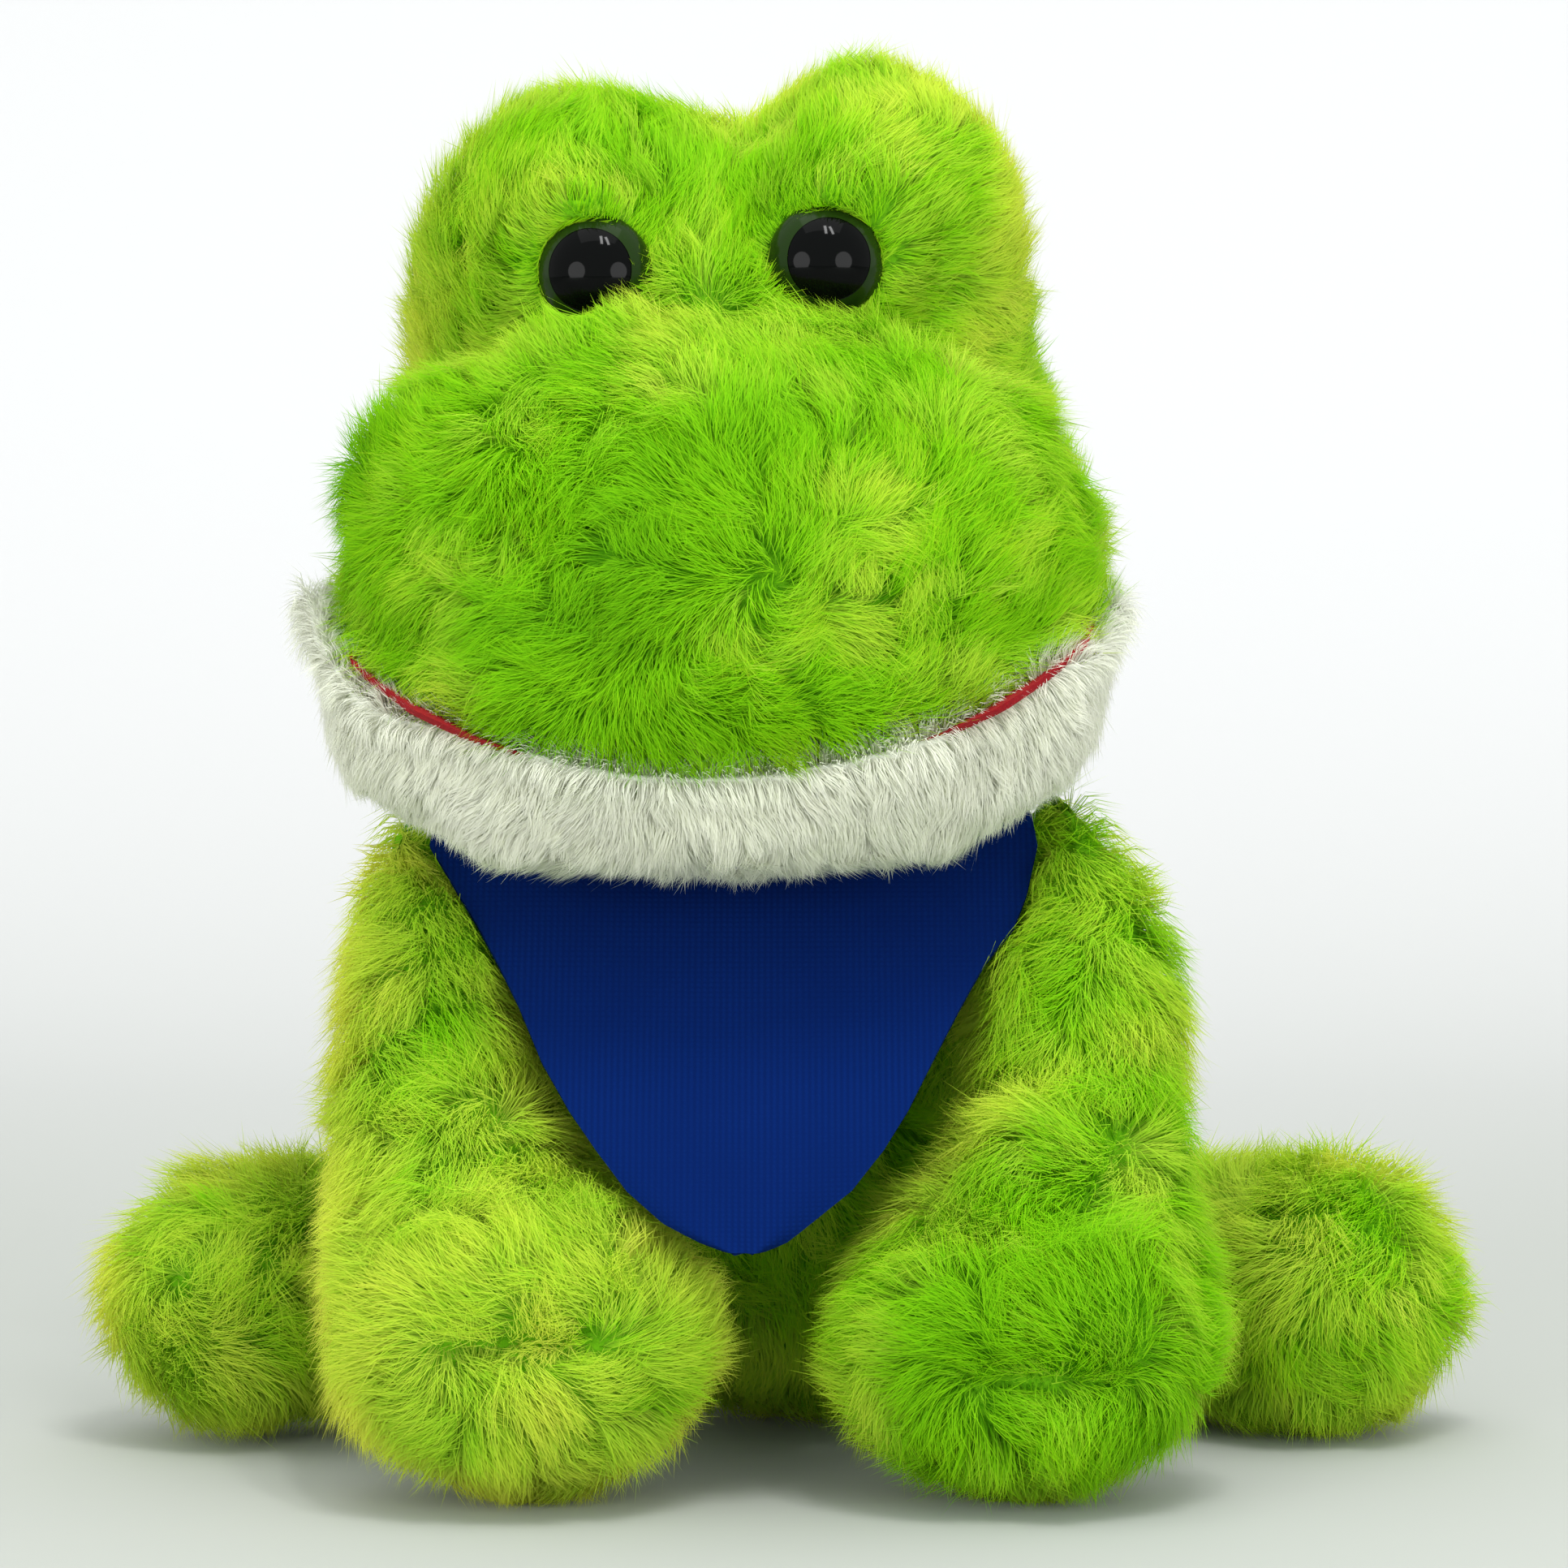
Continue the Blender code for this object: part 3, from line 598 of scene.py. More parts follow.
def find_eye(side: str) -> Eye:
    """Finds where the frame holds an eye.

    Args:
        side: left or right.

    Returns:
        The eye, with the centre of its rim's face and the way it looks.
    """
    middles = []
    for piece in ("pupil", "washer"):
        points = node_points(f"eye_{piece}_{side}").round(7)
        middles.append((points.min(0) + points.max(0)) / 2)
    pupil, washer = middles
    axis = unit(pupil - washer)
    rim = node_points(f"eye_iris_{side}")
    away = lengths(rim - pupil - np.outer((rim - pupil) @ axis, axis))
    edge = 9.5 * MM
    face = (rim @ axis)[away > edge].max()
    return Eye(side, pupil + axis * (face - pupil @ axis), axis)


EYES = [find_eye("right"), find_eye("left")]


@dataclass
class HideSizes:
    """How a hide is made from its CAD solid, and how far its pile looks for room."""

    voxel: float = 2.6 * MM
    rounds: int = 10
    sink: float = 5.5 * MM
    eye_clear: float = 10.0 * MM
    eye_blend: float = 9.0 * MM
    eye_rise: float = 0.8
    lean: float = 0.0
    top_share: float = 1.0
    low_share: float = 1.0
    tilt: tuple[float, float] = (0.1, 0.6)
    behind: float = 4.0 * MM
    rim: float = 2.5 * MM
    room: float = 20.0 * MM
    reach: float = 60.0 * MM
    looks: int = 10
    look_spread: float = 0.9
    look_rise: float = 0.4
    off: float = 0.5 * MM
    swings: int = 5


@dataclass
class PileSizes:
    """The pile of one hide, in strands per square millimetre, with angles in degrees."""

    seed: int
    length: float = 10.5 * MM
    density: float = 5.0
    root_lift: float = 56.0
    tip_lift: float = 16.0
    lock: float = 9.5 * MM
    tuft: float = 2.4 * MM
    lock_draw: float = 0.24
    tuft_draw: float = 0.22
    strays: float = 0.12
    least: float = 0.06
    softness: float = 0.82
    # tone and ripe make a whole pile paler and yellower; set piece by piece to match brightness, partly as
    # painted light that lightens pieces lying in shade.
    tone: float = 0.0
    ripe: float = 0.92
    stir: float = 1.0
    top_lift: float = 0.0
    width: float = 0.22 * MM
    swirl: float = 0.7
    swirl_wave: float = 45.0 * MM
    flow: tuple[float, float, float] = (0.0, 0.0, -1.0)
    outward: float = 0.0
    whorls: list[Whorl] = field(default_factory=list)
    most: int = 64000


class Side(Enum):
    """Which side of the bib a pile stays on."""

    BEHIND = 1.0
    BEFORE = -1.0
    FREE = 0.0


@dataclass
class StuffedPiece:
    """The plan of one stuffed piece: a hide with its pile round a filling."""

    stem: str
    body: str
    pile: PileSizes
    shape: list[Crease | Pull] = field(default_factory=list)
    side: Side = Side.BEHIND
    hide: HideSizes = field(default_factory=HideSizes)
    white: bool = False
    fill: float = 0.8
    filling: float = 0.7

    def node(self, kind: str) -> str:
        """The piece's CAD node of a kind, such as arm_skin_left."""
        part, _, side = self.stem.partition("_")
        return "_".join(word for word in (part, kind, side) if word)

    def slot(self) -> str:
        """The record's material slot of hide and pile."""
        return "white_plush" if self.white else "green_plush"


class ClothFront:
    """The depth of the bib over a grid seen from the front, which keeps pile on its own side of the cloth."""

    step = 0.7 * MM
    before_all = -0.3

    def __init__(self, tree: BVHTree, low: Array, high: Array) -> None:
        """Measures the cloth.

        Args:
            tree: a search tree over the cloth.
            low: the grid's least x and z.
            high: its greatest x and z.
        """
        self.low = low
        self.counts = np.ceil((high - low) / self.step).astype(int)
        self.depth = np.full(self.counts, np.nan)
        for i, j in np.ndindex(*self.counts):
            x, z = low + self.step * (np.array((i, j)) + 0.5)
            hit = tree.ray_cast(Vector((x, self.before_all, z)), Look.FRONT.value)[0]
            if hit:
                self.depth[i, j] = hit.y

    def at(self, points: Array) -> Array:
        """Finds the cloth's y before or behind each point.

        Args:
            points: rows of x, y and z.

        Returns:
            One y for each point, which is not a number where there is no cloth.
        """
        cell = ((points[:, (0, 2)] - self.low) / self.step).astype(int)
        inside = np.all((cell >= 0) & (cell < self.counts), axis=1)
        cell = np.clip(cell, 0, self.counts - 1)
        return np.where(inside, self.depth[cell[:, 0], cell[:, 1]], np.nan)


class Hide:
    """The knitted skin of one stuffed piece, under its pile."""

    def __init__(self, plan: StuffedPiece) -> None:
        """Evens the CAD solid, draws it in or out where it is shaped, and sinks it.

        Args:
            plan: the stuffed piece that it belongs to.
        """
        self.plan = plan
        sizes = plan.hide
        solid = merged_copy(plan.node("skin"), plan.node("filling"))
        self.mesh = evened(solid, sizes.voxel, sizes.rounds)
        self.points = self.read(self.mesh.vertices, "co")
        self.normals = unit(self.read(self.mesh.vertex_normals, "vector"))
        self.tris = np.array([tuple(p.vertices) for p in self.mesh.polygons])
        self.crease_share = np.zeros(len(self.points))
        for pull in (p for p in plan.shape if isinstance(p, Pull)):
            line = [np.array(place) for place in (*pull.line, pull.line[-1])]
            share = np.exp(-((distance_to_line(self.points, line) / pull.reach) ** 2))
            self.move(self.points + share[:, None] * np.array(pull.way))
        outer = self.tree()
        depth = np.full(len(self.points), sizes.sink)
        for eye in EYES:
            away = lengths(self.points - eye.centre)
            near = 1 - soft_step(away, sizes.eye_clear, sizes.eye_clear + sizes.eye_blend)
            depth *= 1 - sizes.eye_rise * near
        depth *= 1 - (1 - sizes.top_share) * soft_step(self.normals[:, 2], *sizes.tilt)
        depth *= 1 - (1 - sizes.low_share) * soft_step(-self.normals[:, 2], *sizes.tilt)
        for crease in (c for c in plan.shape if isinstance(c, Crease)):
            line = [self.seen_point(outer, place, crease.look) for place in crease.line]
            share = np.exp(-((distance_to_line(self.points, line) / crease.width) ** 2))
            depth += crease.depth * share
            self.crease_share = np.maximum(self.crease_share, share * crease.thinning)
        self.move(self.points - self.normals * depth[:, None])
        self.room = np.full(len(self.points), sizes.room)
        self.openness = np.ones(len(self.points))

    @staticmethod
    def read(items: bpy.types.bpy_prop_collection, key: str) -> Array:
        """Reads rows of three numbers from a part of a mesh.

        Args:
            items: what holds them.
            key: the name that they have there.

        Returns:
            The rows.
        """
        flat = np.empty(len(items) * 3, np.float32)
        items.foreach_get(key, flat)
        return flat.reshape(-1, 3).astype(float)

    def move(self, points: Array) -> None:
        """Puts the mesh's points in new places.

        Args:
            points: the places.
        """
        self.points = points
        self.mesh.vertices.foreach_set("co", points.astype(np.float32).ravel())
        self.mesh.update()
        self.normals = unit(self.read(self.mesh.vertex_normals, "vector"))

    def keep_behind(self, cloth: ClothFront) -> None:
        """Draws the hide back where it would stand before the bib, at rest or as its limb swings sideways.

        Args:
            cloth: the bib's depth.
        """
        sizes = self.plan.hide
        places = self.points.copy()
        turns = [(np.eye(3), np.zeros(3))]
        for joint in frame["record"]["behaviour"]["joints"]:
            if joint["name"] == f"{self.plan.body}_spread":
                angles = np.radians(np.linspace(*joint["range_deg"], sizes.swings))
                spins = [np.array(Matrix.Rotation(angle, 3, Vector(joint["axis"]))) for angle in angles]
                turns = [(spin, np.array(joint["pos_m"])) for spin in spins]
        shifts = sizes.rim * np.array([(0, 0, 0), (1, 0, 0), (-1, 0, 0), (0, 0, 1), (0, 0, -1)])
        for spin, pivot in turns:
            turned = (places - pivot) @ spin.T + pivot
            depth = np.fmax.reduce([cloth.at(turned + shift) for shift in shifts])
            back = np.maximum(places[:, 1], depth + sizes.behind)
            places[:, 1] = np.where(np.isnan(depth), places[:, 1], back)
        self.move(places)

    def tree(self) -> BVHTree:
        """A search tree over the hide's faces."""
        return BVHTree.FromPolygons([Vector(p) for p in self.points], self.tris.tolist())

    @staticmethod
    def seen_point(tree: BVHTree, place: tuple[float, ...], look: Look = Look.FRONT) -> Array:
        """Finds the point of a hide that a straight look meets.

        Args:
            tree: the hide's search tree.
            place: x and z for a look from the front, x and y for a look from above.
            look: the way of the look.

        Returns:
            The point, or one half a metre off where nothing is met.
        """
        x, other = place
        away = 0.5
        start = Vector((x, -away, other)) if look is Look.FRONT else Vector((x, other, away))
        hit = tree.ray_cast(start, look.value)[0]
        return np.array(hit if hit else start)

    def look_round(self, others: BVHTree, rng: np.random.Generator) -> None:
        """Finds how much room the pile has over each point, and how open the place lies.

        Args:
            others: a search tree over all that stands near.
            rng: where the looks' directions come from.
        """
        sizes = self.plan.hide
        looks = unit(rng.normal(size=(sizes.looks, 3)))
        lean = Vector((0.0, -sizes.lean, 0.0))
        for i, (point, normal) in enumerate(zip(self.points, self.normals)):
            start = Vector(point + normal * sizes.off)
            hit = others.ray_cast(start, Vector(normal) + lean, sizes.room)
            if hit[0]:
                self.room[i] = hit[3]
            free = 0
            for look in looks:
                way = look if look @ normal > 0 else -look
                way = way * sizes.look_spread + normal * sizes.look_rise
                free += others.ray_cast(start, Vector(way), sizes.reach)[0] is None
            self.openness[i] = free / sizes.looks

    def dress(self) -> None:
        """Makes the hide a piece of the frog."""
        plan = self.plan
        self.mesh.shade_smooth()
        finish = Finish.WHITE_BACKING if plan.white else Finish.GREEN_BACKING
        name = f"{plan.stem}_hide"
        obj = add_piece(name, self.mesh, finish, plan.body, plan.slot(), plan.node("skin"))


@dataclass(frozen=True)
class Thinning:
    """Where fewer strands stand: in closed corners, against a neighbour, and on what faces backwards."""

    closed: tuple[float, float] = (0.02, 0.3)
    against: tuple[float, float] = mm(0.4, 2.0)
    backward: tuple[float, float] = (-0.05, 0.6)
    backward_loss: float = 0.45


@dataclass(frozen=True)
class Variety:
    """How strands differ. Each pair is the spread from lock to lock and from strand to strand."""

    turn: tuple[float, float] = (0.32, 0.22)
    curl: tuple[float, float] = (0.45, 0.2)
    lift: tuple[float, float] = (7.0, 10.0)
    length: tuple[float, float] = (0.08, 0.14)
    tone: tuple[float, float] = (0.09, 0.05)
    calm_turn: float = 1.1
    calm_lift: float = 8.0
    calm_below: float = 0.55
    stray_lift: float = 18.0
    lift_limits: tuple[float, float] = (2.0, 85.0)
    top: tuple[float, float] = (0.3, 0.8)
    twist: float = 0.6
    ripe: float = 0.1
    least_ripe: float = 0.3
    whorl_eye: float = 3.0 * MM
    fine_swirl: float = 0.35
    fine_wave: float = 0.4
    bunch_warp: float = 0.35
    bunch_pace: float = 2.1


@dataclass(frozen=True)
class Shades:
    """How pale strands are painted: at the middle of a lock, less at its edge as painted shade between locks,
    and more where they face sideways as a painted rim of light.
    """

    middle: float = 0.22
    # Painted shade at the edges of locks.
    edge: float = 0.3
    # Painted rim light on strands whose hide faces sideways.
    sideways: float = 0.42
    broad: float = 0.10
    broad_wave: float = 60.0 * MM
    fine: float = 0.11
    fine_wave: float = 18.0 * MM
    most: float = 0.9


@dataclass(frozen=True)
class Clearances:
    """How the strands keep clear of the bib, the eyes, the floor and the neighbours."""

    behind_bib: float = 1.5 * MM
    before_bib: float = 0.4 * MM
    crossing_share: float = 0.3
    crowded: float = 0.8
    least_length: float = 0.3
    eye_short: float = 0.5
    eye_near: float = 10.5 * MM
    eye_far: float = 15.0 * MM
    eye_low: float = -6.0 * MM
    eye_high: float = 20.0 * MM
    fringe: float = 0.6 * MM
    corner_fringe: float = 6.0 * MM
    brow_fringe: float = 1.0 * MM
    floor: float = 0.25 * MM


class Pile:
    """The strands on one hide."""

    rings = (0.0, 0.5, 1.0)
    taper = 0.35
    draw_power = 1.4
    root_depth = 0.3 * MM
    thinning = Thinning()
    variety = Variety()
    shades = Shades()
    clearances = Clearances()

    def __init__(self, hide: Hide, cloth: ClothFront) -> None:
        """Plans the strands.

        Args:
            hide: what they grow on.
            cloth: the bib's depth.
        """
        self.hide = hide
        self.sizes = hide.plan.pile
        self.cloth = cloth
        self.side = hide.plan.side
        self.rng = np.random.default_rng(self.sizes.seed)

    def roots(self) -> tuple[Array, Array, Array, Array]:
        """Scatters the roots, fewer where no one looks: in closed corners and on what faces backwards.

        Returns:
            The roots, the way the hide faces there, the room over them, and how near a crease they are.
        """
        hide, rng, thin = self.hide, self.rng, self.thinning
        corners = hide.points[hide.tris]
        sides = corners[:, 1:] - corners[:, :1]
        areas = lengths(np.cross(sides[:, 0], sides[:, 1])) / 2
        openness = hide.openness[hide.tris].mean(1)
        room = hide.room[hide.tris].min(1)
        least = self.sizes.least
        share = least + (1 - least) * soft_step(openness, *thin.closed)
        share *= least + (1 - least) * soft_step(room, *thin.against)
        backward = hide.normals[hide.tris].mean(1)[:, 1]
        share *= 1 - thin.backward_loss * soft_step(backward, *thin.backward)
        weights = areas * share
        count = int(weights.sum() / MM**2 * self.sizes.density)
        picked = rng.choice(len(areas), size=count, p=weights / weights.sum())
        a, b = rng.random(count), rng.random(count)
        flip = a + b > 1
        a[flip], b[flip] = 1 - a[flip], 1 - b[flip]
        shares = np.stack([1 - a - b, a, b], axis=1)
        chosen = hide.tris[picked]
        places = (hide.points[chosen] * shares[:, :, None]).sum(1)
        facing = unit((hide.normals[chosen] * shares[:, :, None]).sum(1))
        room = (hide.room[chosen] * shares).sum(1)
        crease = (hide.crease_share[chosen] * shares).sum(1)
        return places, facing, room, crease

    def bunches(self, places: Array, spacing: float) -> tuple[Array, Array, int]:
        """Sorts the roots into bunches.

        Args:
            places: the roots.
            spacing: how far apart the bunches lie.

        Returns:
            Each root's bunch, each root's bunch's middle, and the number of bunches.
        """
        spread = self.variety
        turned = places @ np.linalg.qr(self.rng.normal(size=(3, 3)))[0]
        waves = np.sin(turned[:, (1, 2, 0)] / spacing * spread.bunch_pace)
        warped = turned + spread.bunch_warp * spacing * waves
        cells = np.floor(warped / spacing).astype(np.int64)
        cells -= cells.min(0)
        spans = cells.max(0) + 1
        keys = (cells[:, 0] * spans[1] + cells[:, 1]) * spans[2] + cells[:, 2]
        _, which = np.unique(keys, return_inverse=True)
        total = which.max() + 1
        sizes = np.bincount(which, minlength=total)
        middles = np.stack([np.bincount(which, places[:, i], total) / sizes for i in range(3)], axis=1)
        return which, middles[which], total

    def flow(self, places: Array, facing: Array) -> tuple[Array, Array]:
        """Finds the way that the pile is combed.

        Args:
            places: the roots.
            facing: the way the hide faces at each root.

        Returns:
            The way along the hide at each root, and how little the pile is combed there at all.
        """
        sizes, spread = self.sizes, self.variety
        tree = self.hide.tree()
        way = np.tile(np.array(sizes.flow), (len(places), 1))
        way = way + sizes.outward * unit(places - self.hide.points.mean(0))
        for whorl in sizes.whorls:
            away = places - self.hide.seen_point(tree, (whorl.x, whorl.z))
            away[:, 0] -= np.clip(away[:, 0], -whorl.half, whorl.half)
            distance = lengths(away)
            share = np.exp(-((distance / whorl.reach) ** 2))[:, None]
            along = unit(away) * soft_step(distance, 0.0, spread.whorl_eye)[:, None]
            turn = np.cross(facing, along)
            way = way * (1 - share) + share * (whorl.push * along + whorl.spin * turn)
        way -= facing * (way * facing).sum(1, keepdims=True)
        calm = 1 - soft_step(lengths(way), 0.0, spread.calm_below)
        nudge = 1e-9
        way = unit(way + nudge)
        angle = sizes.swirl * drift(places, sizes.swirl_wave, self.rng)
        fine = drift(places, sizes.swirl_wave * spread.fine_wave, self.rng)
        angle += spread.fine_swirl * sizes.swirl * fine
        across = np.cross(facing, way)
        return way * np.cos(angle)[:, None] + across * np.sin(angle)[:, None], calm

    def grow(self) -> tuple[Array, Array, Array, Array, Array]:
        """Grows every strand.

        Returns:
            The strands' points ring by ring, the direction of their width, the way each strand is lit from,
            how pale each one is, and how far its colour runs towards the tip's.
        """
        sizes, rng, spread, shades = self.sizes, self.rng, self.variety, self.shades
        clear = self.clearances
        places, facing, room, crease = self.roots()
        count = len(places)
        way, calm = self.flow(places, facing)
        across = np.cross(facing, way)
        lock, lock_middle, locks = self.bunches(places, sizes.lock)
        tuft_middle = self.bunches(places, sizes.tuft)[1]

        def vary(by_lock: float, by_strand: float) -> Array:
            """Draws a value for each strand, in part shared by its lock."""
            return rng.normal(0, by_lock, locks)[lock] + rng.normal(0, by_strand, count)

        stray = rng.random(count) < sizes.strays
        angle = sizes.stir * vary(*spread.turn)
        angle += calm * rng.normal(0, spread.calm_turn, locks)[lock]
        curl = sizes.stir * vary(*spread.curl)
        lift = sizes.stir * vary(*spread.lift)
        lift += spread.calm_lift * calm + spread.stray_lift * stray
        lift += sizes.top_lift * soft_step(facing[:, 2], *spread.top)
        length = sizes.length * (1 + vary(*spread.length))
        length *= np.clip(room / (sizes.length * clear.crowded), clear.least_length, 1.0)
        length *= 1 - crease
        for eye in EYES:
            away = lengths(places - eye.centre)
            grown = soft_step(away, clear.eye_near, clear.eye_far)
            short = clear.eye_short + (1 - clear.eye_short) * grown
            length *= np.maximum(short, self.corner_share(places, eye))
        edge = lengths(places - lock_middle) / sizes.lock
        # Painted shade: strands are painted darker towards the edge of their lock, where locks part.
        tone = shades.middle + vary(*spread.tone) - shades.edge * edge
        # Painted light: strands whose hide faces sideways are painted paler, as a rim of light.
        tone += shades.sideways * (1 - np.abs(facing[:, 1])) ** 2
        patches = shades.broad * drift(places, shades.broad_wave, rng)
        patches += shades.fine * drift(places, shades.fine_wave, rng)
        tone = np.clip(tone + sizes.tone + patches, 0.0, shades.most)

        points = np.empty((len(self.rings), count, 3))
        points[0] = places - facing * self.root_depth
        steps = len(self.rings) - 1
        for step in range(steps):
            share = step / max(steps - 1, 1)
            rise = sizes.root_lift + (sizes.tip_lift - sizes.root_lift) * share
            up = np.radians(np.clip(rise + lift, *spread.lift_limits))
            turn = angle + curl * share
            level = way * np.cos(turn)[:, None] + across * np.sin(turn)[:, None]
            direction = facing * np.sin(up)[:, None] + level * np.cos(up)[:, None]
            gap = self.rings[step + 1] - self.rings[step]
            points[step + 1] = points[step] + direction * (length * gap)[:, None]
        for ring, along in zip(points, self.rings):
            drawn = along**self.draw_power
            ring -= sizes.lock_draw * drawn * (places - lock_middle)
            ring -= sizes.tuft_draw * drawn * (places - tuft_middle) * (1 - sizes.lock_draw)
            self.clear_cloth(ring, along)
            self.clear_eyes(ring, along)
            ring[:, 2] = np.maximum(ring[:, 2], clear.floor)
        if self.side is Side.BEHIND:
            crossing = ~np.isnan(self.cloth.at(points[-1])) & np.isnan(self.cloth.at(points[0]))
            root = points[0, crossing]
            points[1:, crossing] = root + clear.crossing_share * (points[1:, crossing] - root)

        main = unit(points[-1] - points[0])
        flat = unit(np.cross(main, facing))
        twist = rng.normal(0, spread.twist, count)[:, None]
        flat = unit(flat * np.cos(twist) + np.cross(main, flat) * np.sin(twist))
        ripe = sizes.ripe + patches + rng.normal(0, spread.ripe, count)
        ripe = np.clip(ripe, spread.least_ripe, 1.0)
        shine = unit(facing * sizes.softness + np.cross(flat, main) * (1 - sizes.softness))
        return points, flat, shine, tone, ripe

    def clear_cloth(self, points: Array, along: float) -> None:
        """Keeps a ring of points on the pile's own side of the bib.

        Args:
            points: the ring, which is changed in place.
            along: how far along the strands it lies.
        """
        if self.side is Side.FREE or along == 0:
            return
        depth = self.cloth.at(points)
        clear = self.clearances
        gap = clear.behind_bib if self.side is Side.BEHIND else clear.before_bib
        limit = depth + self.side.value * gap
        bad = (points[:, 1] - limit) * self.side.value < 0
        points[:, 1] = np.where(bad & ~np.isnan(depth), limit, points[:, 1])

    @staticmethod
    def corner_share(points: Array, eye: Eye) -> Array:
        """Finds how far each point lies towards an eye's lower inner corner, where the pile hides the rim.

        Args:
            points: rows of x, y and z.
            eye: the eye.

        Returns:
            One share for each point.
        """
        away = points - eye.centre
        level = away - np.outer(away @ eye.axis, eye.axis)
        return np.clip(unit(level) @ eye.inner_corner(), 0.0, 1.0) ** 2

    def clear_eyes(self, points: Array, along: float) -> None:
        """Pushes a ring of points off the face of each eye, but for a fringe over the rim.

        Args:
            points: the ring, which is changed in place.
            along: how far along the strands it lies.
        """
        clear = self.clearances
        for eye in EYES:
            away = points - eye.centre
            height = away @ eye.axis
            level = away - np.outer(height, eye.axis)
            distance = lengths(level)
            brow = np.clip(unit(level)[:, 2], 0.0, 1.0) ** 2
            corner = self.corner_share(points, eye)
            fringe = clear.fringe + clear.corner_fringe * corner + clear.brow_fringe * brow
            limit = eye.radius - fringe * along
            bad = (distance < limit) & (height > clear.eye_low) & (height < clear.eye_high)
            out = unit(level) * (limit - distance)[:, None]
            points[bad] += out[bad]

    def build(self) -> None:
        """Makes the strands pieces of the frog, in parts that stay light."""
        plan = self.hide.plan
        finish = Finish.WHITE_PILE if plan.white else Finish.GREEN_PILE
        points, *rest = self.grow()
        count = points.shape[1]
        parts = math.ceil(count / self.sizes.most)
        for part in range(parts):
            pick = slice(part * count // parts, (part + 1) * count // parts)
            mesh = self.strand_mesh(points[:, pick], *(values[pick] for values in rest))
            add_piece(f"{plan.stem}_pile_{part + 1}", mesh, finish, plan.body, plan.slot())

    def strand_mesh(
        self, points: Array, flat: Array, shine: Array, tone: Array, ripe: Array
    ) -> bpy.types.Mesh:
        """Draws strands as thin tapered blades, each one face for each gap between its rings.

        Args:
            points: their points, ring by ring.
            flat: the direction of each blade's width.
            shine: the normal that each one is lit with.
            tone: how pale each one is.
            ripe: how far its colour runs towards the tip's.

        Returns:
            The mesh.
        """
        rings, count = points.shape[:2]
        half = self.sizes.width / 2
        corners = []
        along = []
        for ring, share in zip(points[:-1], self.rings):
            wide = flat * half * (1 - self.taper * share)
            corners += [ring - wide, ring + wide]
            along += [share, share]
        corners.append(points[-1])
        along.append(1.0)
        per = len(corners)
        places = np.stack(corners, axis=1).reshape(-1, 3)
        quads = [(2 * r, 2 * r + 1, 2 * r + 3, 2 * r + 2) for r in range(rings - 2)]
        loops = np.array([i for quad in quads for i in quad] + [per - 3, per - 2, per - 1])
        starts = np.arange(len(quads) + 1) * 4
        indices = (np.arange(count)[:, None] * per + loops).ravel()
        begins = (np.arange(count)[:, None] * len(loops) + starts).ravel()
        mesh = bpy.data.meshes.new("strands")
        mesh.vertices.add(len(places))
        mesh.vertices.foreach_set("co", places.astype(np.float32).ravel())
        mesh.loops.add(len(indices))
        mesh.loops.foreach_set("vertex_index", indices.astype(np.int32))
        mesh.polygons.add(len(begins))
        mesh.polygons.foreach_set("loop_start", begins.astype(np.int32))
        mesh.update(calc_edges=True)
        mesh.shade_smooth()
        mesh.normals_split_custom_set_from_vertices(np.repeat(shine, per, axis=0).astype(np.float32))
        for name, values in (("along", np.outer(ripe, along)), ("tone", np.repeat(tone, per))):
            layer = mesh.attributes.new(name, "FLOAT", "POINT")
            layer.data.foreach_set("value", values.astype(np.float32).ravel())
        return mesh


@dataclass
class BibSizes:
    """The bib, as rows seen from the front: height, depth, and its right and left edges, in millimetres."""

    rows: tuple[tuple[float, float, float, float], ...] = (
        (121.0, -43.9, -34.0, 18.0),
        (118.6, -47.5, -52.0, 42.3),
        (115.9, -49.0, -61.3, 43.6),
        (111.1, -53.0, -62.1, 44.4),
        (103.2, -59.5, -56.7, 42.3),
        (98.0, -64.0, -53.1, 40.0),
        (92.4, -69.5, -49.5, 34.8),
        (85.5, -75.0, -45.6, 30.5),
        (76.5, -81.0, -41.4, 25.4),
        (68.7, -85.5, -36.6, 21.2),
        (62.3, -88.8, -31.9, 17.0),
        (55.7, -91.7, -26.6, 11.5),
        (50.5, -93.8, -20.4, 4.7),
        (47.4, -94.8, -14.2, 0.6),
        (45.9, -95.3, -10.0, -3.0),
    )
    columns: int = 26
    cup: float = 1.6
    ripple: float = 0.5
    ripple_across: float = 5.0
    ripple_down: float = 0.05
    ease: float = 0.5
    roundness: float = 0.6
    thickness: float = 1.1 * MM
    fold: float = 92.0 * MM
    fold_half: float = 4.0 * MM
    fold_start: tuple[float, ...] = mm(-7, -69)
    fold_end: tuple[float, ...] = mm(-7, -72)
    flat: tuple[float, float] = (110.0 * MM, 100.0 * MM)


